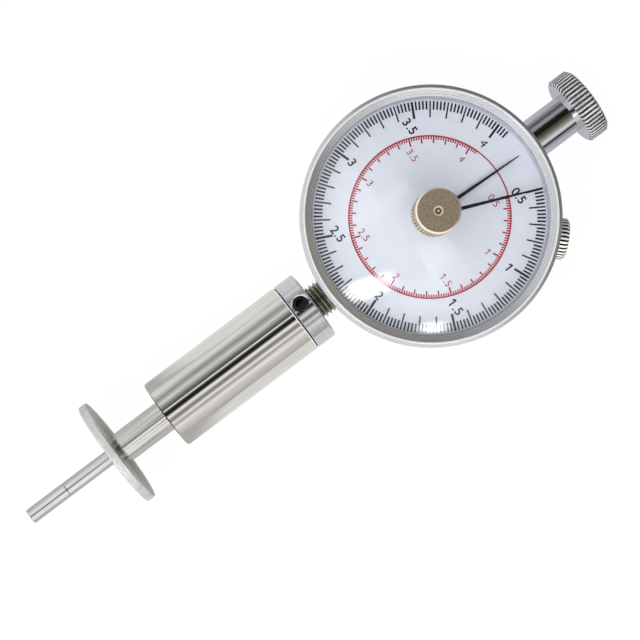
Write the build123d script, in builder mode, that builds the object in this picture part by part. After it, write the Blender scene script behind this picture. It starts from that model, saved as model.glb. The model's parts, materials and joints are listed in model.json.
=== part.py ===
from build123d import *
from math import acos, ceil, cos, degrees, pi, radians, sin, sqrt, tan
import os

# Fruit hardness tester. A spring-loaded probe slides into a barrel, its rack turns a dial pointer
# through a pair of gears, and a second pointer keeps the highest reading until the knob on the
# crystal turns it back.
# Millimetres. X runs across the dial, Y along the probe towards the hand knob, Z out of the dial.
# The origin is the middle of the back face, under the centre of the dial.

# Clearances
RUNNING_FIT = 0.05
SCREW_FIT = 0.02
FREE_GAP = 0.3
EDGE_BREAK = 0.3

# Probe, flange and plunger
STROKE = 11.2
TIP_DIAMETER = 3.5
TIP_LENGTH = 22.5
TIP_MARK_DEPTH = 10.0
TIP_MARK_GROOVE = 0.12
TIP_SHANK_DIAMETER = 2.5
TIP_SHANK_LENGTH = 8.0
FLANGE_DIAMETER = 25.5
FLANGE_THICKNESS = 2.0
FLANGE_EDGE = 0.4
FLANGE_CLEARANCE = 1.3
SHAFT_DIAMETER = 7.2
SHAFT_SPIGOT_DIAMETER = 5.0
ROD_DIAMETER = 4.0
ROD_SEAT_DEPTH = 5.0

# Barrel, collar and neck
AXIS_HEIGHT = 8.0
BARREL_DIAMETER = 16.4
BARREL_LENGTH = 35.6
BARREL_WALL = 1.4
NOSE_THICKNESS = 4.0
NOSE_RECESS = 0.3
BUSH_WALL = 1.2
BUSH_FLANGE_WIDTH = 1.0
BUSH_FLANGE_THICKNESS = 1.0
COLLAR_LENGTH = 4.9
COLLAR_SPIGOT = 3.0
NECK_DIAMETER = 8.0
NECK_EXPOSED = 5.2
NECK_GRIP = 4.4
SET_SCREW_DIAMETER = 3.4
SET_SCREW_ANGLE = 14.0
SET_SCREW_SUNK = 0.4
SET_SCREW_HOLE_BEVEL = 0.15
SOCKET_FLATS = 2.0
SOCKET_DEPTH = 1.8

# Load spring
SPRING_DIAMETER = 10.0
WIRE_DIAMETER = 0.7
SPRING_TURNS = 8
SEAT_THICKNESS = 2.0
SEAT_BOSS = 1.2

# Dial case and back
CASE_RADIUS = 26.1
CASE_WALL = 2.3
LEDGE_WIDTH = 4.0
LEDGE_THICKNESS = 1.6
COVER_THICKNESS = 1.8
COVER_RIM = 0.3
BOSS_WIDTH = 11.0
BOSS_DEPTH = 4.3
SCREW_SHANK = 1.6
SCREW_HEAD = 3.0
SCREW_HEAD_HEIGHT = 0.7
SCREW_SLOT = 0.5
SCREW_GRIP = 1.4
COVER_SCREWS = 4

# Movement
GEAR_MODULE = 0.25
RACK_PINION_TEETH = 32
DRIVE_WHEEL_TEETH = 30
CENTRE_PINION_TEETH = 14
PRESSURE_ANGLE = 20.0
BACKLASH = 0.05
DEDENDUM = 1.25
RACK_PINION_WIDTH = 2.4
WHEEL_THICKNESS = 0.8
PINION_WIDTH = 1.0
RACK_LEAD = 2.2
ARBOR_DIAMETER = 1.6
PIVOT_DIAMETER = 0.8
LOWER_PLATE_THICKNESS = 1.2
TOP_PLATE_THICKNESS = 1.0
TOP_PLATE_RADIUS = 19.0
PILLAR_DIAMETER = 4.0
PILLAR_SPACING = 23.0
PILLAR_SPIGOT = 2.4
PLATE_MARGIN = 0.4
COCK_THICKNESS = 1.0
COCK_WIDTH = 7.0
COCK_REACH = 2.2
COCK_FOOT_NEAR = 8.0
COCK_FOOT_FAR = 13.0
COCK_SCREW_SPACING = 3.4
GUIDE_PIN_DIAMETER = 1.4
GUIDE_WIDTH = 6.0
GUIDE_END = 1.6
HAIRSPRING_HEIGHT = 0.6
HAIRSPRING_RIBBON = 0.2
HAIRSPRING_PITCH = 0.7
HAIRSPRING_HALF_TURNS = 6
COLLET_DIAMETER = 3.4
STUD_DIAMETER = 0.9

# Dial, crystal and bezel
DIAL_THICKNESS = 0.7
DIAL_HOLE = 3.2
SPACER_HEIGHT = 1.6
SPACER_WIDTH = 1.0
CRYSTAL_THICKNESS = 1.4
DOME_HEIGHT = 3.8
LIP_WIDTH = 1.2
LIP_THICKNESS = 1.4
LIP_LAND = 0.4
LIP_BEVEL = 0.8
BEZEL_WALL = 1.95
BEZEL_EDGE = 0.5
SKIRT_WALL = 1.0
SNAP_RING_HEIGHT = 0.6
SNAP_RING_WIDTH = 0.8
SNAP_RING_GAP = 30.0

# Pointers and reset knob
ZERO_ANGLE = 2.4
PEAK_ANGLE = 22.5
POINTER_THICKNESS = 0.25
POINTER_TIP_WIDTH = 0.3
DRIVING_TIP_MARGIN = 3.4
DRIVING_WIDTH = 1.0
DRIVING_CLEARANCE = 0.4
DRIVING_BOSS_DIAMETER = 3.2
DRIVING_BOSS_HEIGHT = 1.0
POINTER_SEAT_DIAMETER = 1.2
DOG_DIAMETER = 0.6
DOG_PLACE = 5.5
DOG_HEIGHT = 1.5
PEAK_WIDTH = 1.0
PEAK_TIP_CLEARANCE = 1.0
PEAK_ROOT_CLEARANCE = 3.2
PEAK_BOSS_DIAMETER = 4.4
PEAK_BOSS_HEIGHT = 1.2
SPINDLE_DIAMETER = 2.0
CRYSTAL_BUSH_DIAMETER = 4.4
CRYSTAL_BUSH_FLANGE = 6.4
CRYSTAL_BUSH_FLANGE_THICKNESS = 0.5
WASHER_THICKNESS = 0.3
RESET_KNOB_DIAMETER = 9.6
RESET_KNOB_HEIGHT = 12.6
RESET_KNOB_BEVEL = 0.5
RESET_KNOB_PLAIN = 3.0
RESET_KNOB_RIDGE_COUNT = 44
RESET_SCREW_DIAMETER = 2.3
RESET_SCREW_SHANK = 1.2
RESET_SCREW_SUNK = 0.15
RESET_SCREW_LENGTH = 3.0

# Hand knob and its tube
STEM_DIAMETER = 9.0
STEM_MARGIN = 2.2
STEM_THREAD_DIAMETER = 7.0
STEM_SPIGOT_DIAMETER = 6.6
STEM_SPIGOT = 3.2
ROD_ENTRY = 2.0
SPOT_FACE_DEPTH = 0.5
PUSH_KNOB_DIAMETER = 16.0
PUSH_KNOB_THICKNESS = 5.0
PUSH_KNOB_BEVEL = 0.6
PUSH_KNOB_RIDGE_COUNT = 48

# Bezel clamp
CLAMP_ANGLE = 45.0
CLAMP_KNOB_DIAMETER = 9.2
CLAMP_KNOB_THICKNESS = 3.2
CLAMP_KNOB_BEVEL = 0.6
CLAMP_KNOB_RIDGE_COUNT = 32
CLAMP_SHANK_DIAMETER = 3.0
CLAMP_SHOE_THICKNESS = 0.6
CLAMP_SHOE_WIDTH = 6.0
CLAMP_SHOE_FOOT = 1.0
KNURL_DEPTH = 0.3

# Levels up from the back face
rod_radius = ROD_DIAMETER / 2
cover_top = COVER_THICKNESS
ledge_top = cover_top + LEDGE_THICKNESS
lower_plate_top = ledge_top + LOWER_PLATE_THICKNESS
cock_bottom = AXIS_HEIGHT + rod_radius + FREE_GAP
cock_top = cock_bottom + COCK_THICKNESS
pinion_bottom = cock_top + FREE_GAP
pinion_top = pinion_bottom + PINION_WIDTH
hairspring_bottom = pinion_top + FREE_GAP
hairspring_top = hairspring_bottom + HAIRSPRING_HEIGHT
top_plate_bottom = hairspring_top + FREE_GAP
top_plate_top = top_plate_bottom + TOP_PLATE_THICKNESS
case_front = top_plate_top
dial_bottom = case_front + FREE_GAP
dial_top = dial_bottom + DIAL_THICKNESS
spacer_top = dial_top + SPACER_HEIGHT
rim_top = spacer_top + CRYSTAL_THICKNESS
crest_top = rim_top + LIP_THICKNESS
skirt_bottom = AXIS_HEIGHT + STEM_DIAMETER / 2 + FREE_GAP
bezel_rim_bottom = dial_bottom
snap_ring_middle = (skirt_bottom + case_front) / 2

# Radii about the centre of the dial
case_inside = CASE_RADIUS - CASE_WALL
ledge_inside = case_inside - LEDGE_WIDTH
cover_recess = case_inside + COVER_RIM
bezel_bore = CASE_RADIUS + FREE_GAP
dial_radius = bezel_bore - SCREW_FIT
lip_radius = bezel_bore - LIP_WIDTH
bezel_radius = bezel_bore + BEZEL_WALL
skirt_radius = bezel_bore + SKIRT_WALL
spacer_inside = dial_radius - SPACER_WIDTH
driving_length = spacer_inside - DRIVING_TIP_MARGIN
peak_length = spacer_inside - FREE_GAP

# Places along the probe axis
collar_top = -(CASE_RADIUS + NECK_EXPOSED)
collar_bottom = collar_top - COLLAR_LENGTH
spigot_bottom = collar_bottom - COLLAR_SPIGOT
nose = collar_bottom - BARREL_LENGTH
nose_inside = nose + NOSE_THICKNESS
bush_top = nose_inside + BUSH_FLANGE_THICKNESS
seat_bottom = bush_top + RUNNING_FIT
seat_top = seat_bottom + SEAT_THICKNESS
shaft_end = seat_top + SEAT_BOSS
flange_back = nose - STROKE - FLANGE_CLEARANCE
flange_front = flange_back - FLANGE_THICKNESS
tip_end = flange_front - TIP_LENGTH
tip_mark = tip_end + TIP_MARK_DEPTH
shank_end = flange_front + TIP_SHANK_LENGTH
rod_start = shaft_end - ROD_SEAT_DEPTH
rod_end = CASE_RADIUS + ROD_ENTRY
boss_inside = case_inside - BOSS_DEPTH
stem_seat = CASE_RADIUS - SPOT_FACE_DEPTH
knob_inner = CASE_RADIUS + STROKE + STEM_MARGIN
knob_outer = knob_inner + PUSH_KNOB_THICKNESS
stem_end = knob_inner + STEM_SPIGOT

# Gears: the rack's pitch line is where the two gear pairs leave it
rack_pinion_radius = GEAR_MODULE * RACK_PINION_TEETH / 2
drive_wheel_radius = GEAR_MODULE * DRIVE_WHEEL_TEETH / 2
centre_pinion_radius = GEAR_MODULE * CENTRE_PINION_TEETH / 2
drive_place = drive_wheel_radius + centre_pinion_radius
rack_pitch_line = drive_place - rack_pinion_radius
tooth_pitch = pi * GEAR_MODULE
tooth_thickness = tooth_pitch / 2 - BACKLASH

# Working planes and axes
tool_axis = Axis((0, 0, AXIS_HEIGHT), (0, 1, 0))
tool_plane = Plane(origin=(0, 0, AXIS_HEIGHT), x_dir=(0, 1, 0), z_dir=(1, 0, 0))
screw_lean = radians(SET_SCREW_ANGLE)
set_screw_plane = Plane(
    origin=(0, collar_top - COLLAR_LENGTH / 2, AXIS_HEIGHT),
    x_dir=(0, 1, 0),
    z_dir=(-sin(screw_lean), 0, cos(screw_lean)),
)
clamp_way = (sin(radians(CLAMP_ANGLE)), cos(radians(CLAMP_ANGLE)), 0)
clamp_plane = Plane(origin=(0, 0, AXIS_HEIGHT), x_dir=clamp_way, z_dir=(clamp_way[1], -clamp_way[0], 0))
clamp_axis = Axis((0, 0, AXIS_HEIGHT), clamp_way)


def half_section(plane, *points):
    """Closed outline of a turned piece, on one side of its axis."""
    with BuildSketch(plane) as section:
        with BuildLine():
            Polyline(*points, close=True)
        make_face()
    return section.sketch


def polar_point(radius, angle):
    return (radius * cos(radians(angle)), radius * sin(radians(angle)))


def knurled_outline(plane, diameter, ridges):
    """Round outline with straight V ridges all the way round."""
    with BuildSketch(plane) as outline:
        with BuildLine():
            Polyline(
                *[
                    polar_point(diameter / 2 - KNURL_DEPTH * (corner % 2), 180 * corner / ridges)
                    for corner in range(2 * ridges)
                ],
                close=True,
            )
        make_face()
    return outline.sketch


def involute(angle):
    return tan(angle) - angle


def half_tooth_angle(teeth, radius):
    """Half the angle that a gear's tooth spans at a radius, in degrees."""
    pitch_radius = GEAR_MODULE * teeth / 2
    base_radius = pitch_radius * cos(radians(PRESSURE_ANGLE))
    flank_angle = acos(min(1, base_radius / radius))
    half_pitch_tooth = tooth_thickness / (2 * pitch_radius)
    return degrees(half_pitch_tooth + involute(radians(PRESSURE_ANGLE)) - involute(flank_angle))


def gear_outline(plane, teeth, first_tooth):
    """Spur gear with involute flanks, drawn as two chords on each flank."""
    pitch_radius = GEAR_MODULE * teeth / 2
    radii = (pitch_radius - DEDENDUM * GEAR_MODULE, pitch_radius, pitch_radius + GEAR_MODULE)
    halves = [half_tooth_angle(teeth, radius) for radius in radii]
    corners = []
    for tooth in range(teeth):
        middle = first_tooth + 360 * tooth / teeth
        rising = [polar_point(r, middle - half) for r, half in zip(radii, halves)]
        falling = [polar_point(r, middle + half) for r, half in zip(radii, halves)]
        corners += rising + falling[::-1]
    with BuildSketch(plane) as outline:
        with BuildLine():
            Polyline(*corners, close=True)
        make_face()
    return outline.sketch


def pointer_plane(angle, height):
    """Level plane whose Y axis points along a pointer, at an angle clockwise from the hand knob."""
    turn = radians(angle)
    return Plane(origin=(0, 0, height), x_dir=(cos(turn), -sin(turn), 0), z_dir=(0, 0, 1))


def needle_outline(plane, length, root_width):
    with BuildSketch(plane) as outline:
        with BuildLine():
            Polyline(
                (-root_width / 2, 0),
                (-POINTER_TIP_WIDTH / 2, length),
                (POINTER_TIP_WIDTH / 2, length),
                (root_width / 2, 0),
                close=True,
            )
        make_face()
    return outline.sketch


# Probe tip, with the scribed ring that marks the depth to press to
tip_radius = TIP_DIAMETER / 2
shank_radius = TIP_SHANK_DIAMETER / 2
with BuildPart() as probe_tip:
    revolve(
        half_section(
            tool_plane,
            (tip_end, 0),
            (tip_end, tip_radius - TIP_MARK_GROOVE),
            (tip_end + TIP_MARK_GROOVE, tip_radius),
            (tip_mark - TIP_MARK_GROOVE, tip_radius),
            (tip_mark, tip_radius - TIP_MARK_GROOVE),
            (tip_mark + TIP_MARK_GROOVE, tip_radius),
            (flange_front, tip_radius),
            (flange_front, shank_radius),
            (shank_end, shank_radius),
            (shank_end, 0),
        ),
        axis=tool_axis,
    )

# Flange, held between the tip's shoulder and the shaft
spigot_radius = SHAFT_SPIGOT_DIAMETER / 2
flange_radius = FLANGE_DIAMETER / 2
with BuildPart() as flange:
    revolve(
        half_section(
            tool_plane,
            (flange_front, spigot_radius + SCREW_FIT),
            (flange_front, flange_radius),
            (flange_back, flange_radius),
            (flange_back, spigot_radius + SCREW_FIT),
        ),
        axis=tool_axis,
    )
    chamfer(flange.edges().group_by(SortBy.LENGTH)[-1], FLANGE_EDGE)

# Plunger shaft, bored for the tip's shank and for the rack rod
shaft_radius = SHAFT_DIAMETER / 2
with BuildPart() as plunger_shaft:
    revolve(
        half_section(
            tool_plane,
            (flange_front, shank_radius + SCREW_FIT),
            (flange_front, spigot_radius),
            (flange_back, spigot_radius),
            (flange_back, shaft_radius),
            (shaft_end, shaft_radius),
            (shaft_end, rod_radius + SCREW_FIT),
            (rod_start, rod_radius + SCREW_FIT),
            (rod_start, 0),
            (shank_end, 0),
            (shank_end, shank_radius + SCREW_FIT),
        ),
        axis=tool_axis,
    )

# Spring seat, which also stops the plunger against the nose bush
barrel_radius = BARREL_DIAMETER / 2
barrel_bore = barrel_radius - BARREL_WALL
spring_inside = SPRING_DIAMETER / 2 - WIRE_DIAMETER / 2
with BuildPart() as spring_seat:
    revolve(
        half_section(
            tool_plane,
            (seat_bottom, shaft_radius + SCREW_FIT),
            (seat_bottom, barrel_bore - FREE_GAP),
            (seat_top, barrel_bore - FREE_GAP),
            (seat_top, spring_inside - FREE_GAP),
            (shaft_end, spring_inside - FREE_GAP),
            (shaft_end, shaft_radius + SCREW_FIT),
        ),
        axis=tool_axis,
    )

# Rack rod: a flat along one side, cut into teeth where it passes the pinion
rack_tip_line = rack_pitch_line + GEAR_MODULE
rack_root_line = rack_pitch_line - DEDENDUM * GEAR_MODULE
flank_slope = tan(radians(PRESSURE_ANGLE))
tip_gap = tooth_pitch - tooth_thickness + 2 * GEAR_MODULE * flank_slope
root_gap = tooth_pitch - tooth_thickness - 2 * DEDENDUM * GEAR_MODULE * flank_slope
gaps_below = ceil((STROKE + RACK_LEAD) / tooth_pitch)
gaps_above = ceil(RACK_LEAD / tooth_pitch)
rack_low = -gaps_below * tooth_pitch
rack_high = gaps_above * tooth_pitch
slot_low = PLATE_MARGIN + GUIDE_END - boss_inside
pin_low = slot_low + FREE_GAP + GUIDE_PIN_DIAMETER / 2
pin_place = (0, pin_low)
with BuildPart() as rack_rod:
    revolve(
        half_section(tool_plane, (rod_start, 0), (rod_start, rod_radius), (rod_end, rod_radius), (rod_end, 0)),
        axis=tool_axis,
    )
    with BuildSketch(Plane.XY.offset(AXIS_HEIGHT)):
        with Locations((-rack_tip_line, (rack_low + rack_high) / 2)):
            Rectangle(ROD_DIAMETER, rack_high - rack_low, align=(Align.MAX, Align.CENTER))
        for gap in range(-gaps_below, gaps_above):
            gap_middle = (gap + 0.5) * tooth_pitch
            with BuildLine():
                Polyline(
                    (-rack_tip_line, gap_middle - tip_gap / 2),
                    (-rack_root_line, gap_middle - root_gap / 2),
                    (-rack_root_line, gap_middle + root_gap / 2),
                    (-rack_tip_line, gap_middle + tip_gap / 2),
                    close=True,
                )
            make_face()
    extrude(amount=ROD_DIAMETER, both=True, mode=Mode.SUBTRACT)
    with BuildSketch(Plane.XY.offset(AXIS_HEIGHT)):
        with Locations(pin_place):
            Circle(GUIDE_PIN_DIAMETER / 2 + SCREW_FIT)
    extrude(amount=-ROD_DIAMETER, mode=Mode.SUBTRACT)

# Guide pin in the rod, and the slotted guide that it runs in
pin_bottom = lower_plate_top + FREE_GAP
guide_top = AXIS_HEIGHT - rod_radius - FREE_GAP
slot_width = GUIDE_PIN_DIAMETER + 2 * RUNNING_FIT
slot_high = pin_low + STROKE + GUIDE_PIN_DIAMETER / 2 + FREE_GAP
with BuildPart() as guide_pin:
    with BuildSketch(Plane.XY.offset(pin_bottom)):
        with Locations(pin_place):
            Circle(GUIDE_PIN_DIAMETER / 2)
    extrude(amount=AXIS_HEIGHT - pin_bottom)

with BuildPart() as rack_guide:
    with BuildSketch(Plane.XY.offset(lower_plate_top)):
        with Locations((0, (slot_low + slot_high) / 2)):
            Rectangle(GUIDE_WIDTH, slot_high - slot_low + 2 * GUIDE_END)
            Rectangle(slot_width, slot_high - slot_low, mode=Mode.SUBTRACT)
    extrude(amount=guide_top - lower_plate_top)

# Barrel with its nose, and the bush that guides the shaft
bush_inside = shaft_radius + RUNNING_FIT
bush_outside = bush_inside + BUSH_WALL
with BuildPart() as barrel:
    revolve(
        half_section(
            tool_plane,
            (nose, bush_outside + SCREW_FIT),
            (nose, barrel_radius - EDGE_BREAK),
            (nose + EDGE_BREAK, barrel_radius),
            (collar_bottom - EDGE_BREAK, barrel_radius),
            (collar_bottom, barrel_radius - EDGE_BREAK),
            (collar_bottom, barrel_bore),
            (nose_inside, barrel_bore),
            (nose_inside, bush_outside + SCREW_FIT),
        ),
        axis=tool_axis,
    )

with BuildPart() as front_bush:
    revolve(
        half_section(
            tool_plane,
            (nose + NOSE_RECESS, bush_inside),
            (nose + NOSE_RECESS, bush_outside),
            (nose_inside, bush_outside),
            (nose_inside, bush_outside + BUSH_FLANGE_WIDTH),
            (bush_top, bush_outside + BUSH_FLANGE_WIDTH),
            (bush_top, bush_inside),
        ),
        axis=tool_axis,
    )

# Load spring, one unbroken wire of half-turn biarcs between the seat and the collar's spigot
coil_start = seat_top + WIRE_DIAMETER / 2 + SCREW_FIT
coil_end = spigot_bottom - WIRE_DIAMETER / 2 - SCREW_FIT
coil_rise = (coil_end - coil_start) / (2 * pi * SPRING_TURNS)
coil_radius = SPRING_DIAMETER / 2


def coil_point(turn):
    return Vector(coil_radius * cos(turn), coil_start + coil_rise * turn, AXIS_HEIGHT + coil_radius * sin(turn))


def coil_direction(turn):
    return Vector(-coil_radius * sin(turn), coil_rise, coil_radius * cos(turn)).normalized()


with BuildPart() as main_spring:
    with BuildLine() as coil:
        for half_turn in range(2 * SPRING_TURNS):
            first, last = coil_point(pi * half_turn), coil_point(pi * (half_turn + 1))
            leaving, arriving = coil_direction(pi * half_turn), coil_direction(pi * (half_turn + 1))
            across = last - first
            both = across.dot(leaving + arriving)
            spread = 1 - leaving.dot(arriving)
            reach = (sqrt(both**2 + 2 * spread * across.dot(across)) - both) / (2 * spread)
            joint = (first + last + (leaving - arriving) * reach) * 0.5
            TangentArc(first, joint, tangent=leaving)
            TangentArc(joint, last, tangent=(last - arriving * reach) - (first + leaving * reach))
    with BuildSketch(Plane(origin=coil_point(0), z_dir=coil_direction(0), x_dir=(1, 0, 0))) as wire:
        Rectangle(WIRE_DIAMETER, WIRE_DIAMETER)
    sweep(wire.sketch, path=coil.line)

# Collar that screws on the neck, plugs the barrel and takes the set screw
neck_radius = NECK_DIAMETER / 2
rod_bore = rod_radius + RUNNING_FIT
set_screw_radius = SET_SCREW_DIAMETER / 2
set_screw_hole = set_screw_radius + SCREW_FIT
hole_bevel_low = sqrt(barrel_radius**2 - set_screw_hole**2) - SET_SCREW_HOLE_BEVEL
hole_bevel_high = barrel_radius + SET_SCREW_HOLE_BEVEL
with BuildPart() as collar:
    revolve(
        half_section(
            tool_plane,
            (spigot_bottom, rod_radius + FREE_GAP),
            (spigot_bottom, barrel_bore - SCREW_FIT),
            (collar_bottom, barrel_bore - SCREW_FIT),
            (collar_bottom, barrel_radius - EDGE_BREAK),
            (collar_bottom + EDGE_BREAK, barrel_radius),
            (collar_top - EDGE_BREAK, barrel_radius),
            (collar_top, barrel_radius - EDGE_BREAK),
            (collar_top, neck_radius + SCREW_FIT),
            (collar_top - NECK_GRIP, neck_radius + SCREW_FIT),
            (collar_top - NECK_GRIP, rod_radius + FREE_GAP),
        ),
        axis=tool_axis,
    )
    with BuildSketch(set_screw_plane):
        Circle(set_screw_hole)
    extrude(amount=BARREL_DIAMETER, mode=Mode.SUBTRACT)
    revolve(
        half_section(
            Plane(origin=set_screw_plane.origin, x_dir=set_screw_plane.z_dir, z_dir=(0, 1, 0)),
            (hole_bevel_low, 0),
            (hole_bevel_low, set_screw_hole),
            (hole_bevel_high, set_screw_hole + hole_bevel_high - hole_bevel_low),
            (hole_bevel_high, 0),
        ),
        axis=Axis(set_screw_plane.origin, set_screw_plane.z_dir),
        mode=Mode.SUBTRACT,
    )

set_screw_end = barrel_radius - SET_SCREW_SUNK
set_screw_start = neck_radius + SCREW_FIT
with BuildPart() as collar_set_screw:
    with BuildSketch(set_screw_plane.offset(set_screw_start)):
        Circle(set_screw_radius)
    extrude(amount=set_screw_end - set_screw_start)
    with BuildSketch(set_screw_plane.offset(set_screw_end)):
        RegularPolygon(SOCKET_FLATS / 2, 6, major_radius=False)
    extrude(amount=-SOCKET_DEPTH, mode=Mode.SUBTRACT)

# Neck, screwed through the case wall and bored as the rod's lower guide
with BuildPart() as neck_bush:
    revolve(
        half_section(
            tool_plane,
            (collar_top - NECK_GRIP, rod_bore),
            (collar_top - NECK_GRIP, neck_radius - EDGE_BREAK),
            (collar_top - NECK_GRIP + EDGE_BREAK, neck_radius),
            (-boss_inside, neck_radius),
            (-boss_inside, rod_bore),
        ),
        axis=tool_axis,
    )

# Dial case: wall, ledge for the movement and bosses for the neck and the tube
stem_radius = STEM_DIAMETER / 2
stem_thread_radius = STEM_THREAD_DIAMETER / 2
clamp_shank_radius = CLAMP_SHANK_DIAMETER / 2
snap_ring_half = SNAP_RING_HEIGHT / 2
cover_screw_ring = (cover_recess + ledge_inside) / 2
snap_ring_inside = CASE_RADIUS - SNAP_RING_WIDTH / 2
boss_height = 2 * (AXIS_HEIGHT - ledge_top)
screw_hole = SCREW_SHANK / 2 + SCREW_FIT
head_hole = SCREW_HEAD / 2 + SCREW_FIT
plate_screw_places = [(side * (case_inside + ledge_inside) / 2, 0) for side in (-1, 1)]
with BuildPart() as case_ring:
    revolve(
        half_section(
            Plane.XZ,
            (cover_recess, 0),
            (CASE_RADIUS - EDGE_BREAK, 0),
            (CASE_RADIUS, EDGE_BREAK),
            (CASE_RADIUS, snap_ring_middle - snap_ring_half - SCREW_FIT),
            (snap_ring_inside - SCREW_FIT, snap_ring_middle - snap_ring_half - SCREW_FIT),
            (snap_ring_inside - SCREW_FIT, snap_ring_middle + snap_ring_half + SCREW_FIT),
            (CASE_RADIUS, snap_ring_middle + snap_ring_half + SCREW_FIT),
            (CASE_RADIUS, case_front),
            (case_inside, case_front),
            (case_inside, ledge_top),
            (ledge_inside, ledge_top),
            (ledge_inside, cover_top),
            (cover_recess, cover_top),
        )
    )
    with BuildSketch(Plane.XY.offset(ledge_top)):
        for side in (-1, 1):
            with Locations((0, side * boss_inside)):
                Rectangle(
                    BOSS_WIDTH,
                    BOSS_DEPTH + CASE_WALL / 2,
                    align=(Align.CENTER, Align.MIN if side > 0 else Align.MAX),
                )
    extrude(amount=boss_height)
    with BuildSketch(Plane(origin=(0, -boss_inside, AXIS_HEIGHT), z_dir=(0, -1, 0))):
        Circle(neck_radius + SCREW_FIT)
    extrude(amount=CASE_RADIUS, mode=Mode.SUBTRACT)
    with BuildSketch(Plane(origin=(0, boss_inside, AXIS_HEIGHT), z_dir=(0, 1, 0))):
        Circle(stem_thread_radius + SCREW_FIT)
    extrude(amount=CASE_RADIUS, mode=Mode.SUBTRACT)
    with BuildSketch(Plane(origin=(0, stem_seat, AXIS_HEIGHT), z_dir=(0, 1, 0))):
        Circle(stem_radius + SCREW_FIT)
    extrude(amount=CASE_RADIUS, mode=Mode.SUBTRACT)
    with BuildSketch(Plane(origin=(0, 0, AXIS_HEIGHT), z_dir=clamp_way)):
        Circle(clamp_shank_radius + RUNNING_FIT)
    extrude(amount=2 * CASE_RADIUS, mode=Mode.SUBTRACT)
    with BuildSketch():
        with PolarLocations(cover_screw_ring, COVER_SCREWS, start_angle=45):
            Circle(screw_hole)
        with Locations(*plate_screw_places):
            Circle(screw_hole)
    extrude(amount=ledge_top, mode=Mode.SUBTRACT)


def slotted_screw(head_level, way, shank_length):
    """Cheese-head screw whose head starts at a level and whose shank runs up or down from it."""
    with BuildPart() as screw:
        with BuildSketch(Plane.XY.offset(head_level)):
            Circle(SCREW_HEAD / 2)
        extrude(amount=way * SCREW_HEAD_HEIGHT)
        with BuildSketch(Plane.XY.offset(head_level)):
            Rectangle(SCREW_HEAD, SCREW_SLOT)
        extrude(amount=way * SCREW_SLOT, mode=Mode.SUBTRACT)
        with BuildSketch(Plane.XY.offset(head_level + way * SCREW_HEAD_HEIGHT)):
            Circle(SCREW_SHANK / 2)
        extrude(amount=way * shank_length)
    return screw.part


# Back cover in its recess, with sunk screws into the ledge
with BuildPart() as back_cover:
    with BuildSketch():
        Circle(cover_recess - SCREW_FIT)
        with PolarLocations(cover_screw_ring, COVER_SCREWS, start_angle=45):
            Circle(screw_hole, mode=Mode.SUBTRACT)
    extrude(amount=COVER_THICKNESS)
    with BuildSketch():
        with PolarLocations(cover_screw_ring, COVER_SCREWS, start_angle=45):
            Circle(head_hole)
    extrude(amount=SCREW_HEAD_HEIGHT, mode=Mode.SUBTRACT)

cover_screw = slotted_screw(0, 1, COVER_THICKNESS - SCREW_HEAD_HEIGHT + SCREW_GRIP)
with BuildPart() as back_cover_screws:
    with PolarLocations(cover_screw_ring, COVER_SCREWS, start_angle=45):
        add(cover_screw)

# Movement frame: lower plate on the ledge, pillars riveted in it, and the top plate
pivot_radius = PIVOT_DIAMETER / 2
pivot_hole = pivot_radius + RUNNING_FIT
cock_screw_places = [((COCK_FOOT_NEAR + COCK_FOOT_FAR) / 2, side * COCK_SCREW_SPACING / 2) for side in (-1, 1)]
with BuildPart() as lower_plate:
    with BuildSketch(Plane.XY.offset(ledge_top)):
        Circle(case_inside - PLATE_MARGIN)
        Rectangle(2 * case_inside, 2 * (boss_inside - PLATE_MARGIN), mode=Mode.INTERSECT)
        with Locations((-drive_place, 0)):
            Circle(pivot_hole, mode=Mode.SUBTRACT)
        with GridLocations(PILLAR_SPACING, PILLAR_SPACING, 2, 2):
            Circle(PILLAR_SPIGOT / 2 + SCREW_FIT, mode=Mode.SUBTRACT)
        with Locations(*plate_screw_places, *cock_screw_places):
            Circle(screw_hole, mode=Mode.SUBTRACT)
    extrude(amount=LOWER_PLATE_THICKNESS)

plate_screw = slotted_screw(lower_plate_top + SCREW_HEAD_HEIGHT, -1, LOWER_PLATE_THICKNESS + SCREW_GRIP)
with BuildPart() as lower_plate_screws:
    with Locations(*plate_screw_places):
        add(plate_screw)

pillar_screw_grip = 2 * SCREW_GRIP
with BuildPart() as pillars:
    with BuildSketch(Plane.XY.offset(lower_plate_top)):
        with GridLocations(PILLAR_SPACING, PILLAR_SPACING, 2, 2):
            Circle(PILLAR_DIAMETER / 2)
    extrude(amount=top_plate_bottom - lower_plate_top)
    with BuildSketch(Plane.XY.offset(ledge_top)):
        with GridLocations(PILLAR_SPACING, PILLAR_SPACING, 2, 2):
            Circle(PILLAR_SPIGOT / 2)
    extrude(amount=LOWER_PLATE_THICKNESS)
    with BuildSketch(Plane.XY.offset(top_plate_bottom)):
        with GridLocations(PILLAR_SPACING, PILLAR_SPACING, 2, 2):
            Circle(screw_hole)
    extrude(amount=-pillar_screw_grip, mode=Mode.SUBTRACT)

arbor_radius = ARBOR_DIAMETER / 2
with BuildPart() as top_plate:
    with BuildSketch(Plane.XY.offset(top_plate_bottom)):
        Circle(TOP_PLATE_RADIUS)
        Circle(arbor_radius + RUNNING_FIT, mode=Mode.SUBTRACT)
        with Locations((-drive_place, 0)):
            Circle(pivot_hole, mode=Mode.SUBTRACT)
        with GridLocations(PILLAR_SPACING, PILLAR_SPACING, 2, 2):
            Circle(screw_hole, mode=Mode.SUBTRACT)
    extrude(amount=TOP_PLATE_THICKNESS)
    with BuildSketch(Plane.XY.offset(top_plate_top)):
        with GridLocations(PILLAR_SPACING, PILLAR_SPACING, 2, 2):
            Circle(head_hole)
    extrude(amount=-SCREW_HEAD_HEIGHT, mode=Mode.SUBTRACT)

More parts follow.
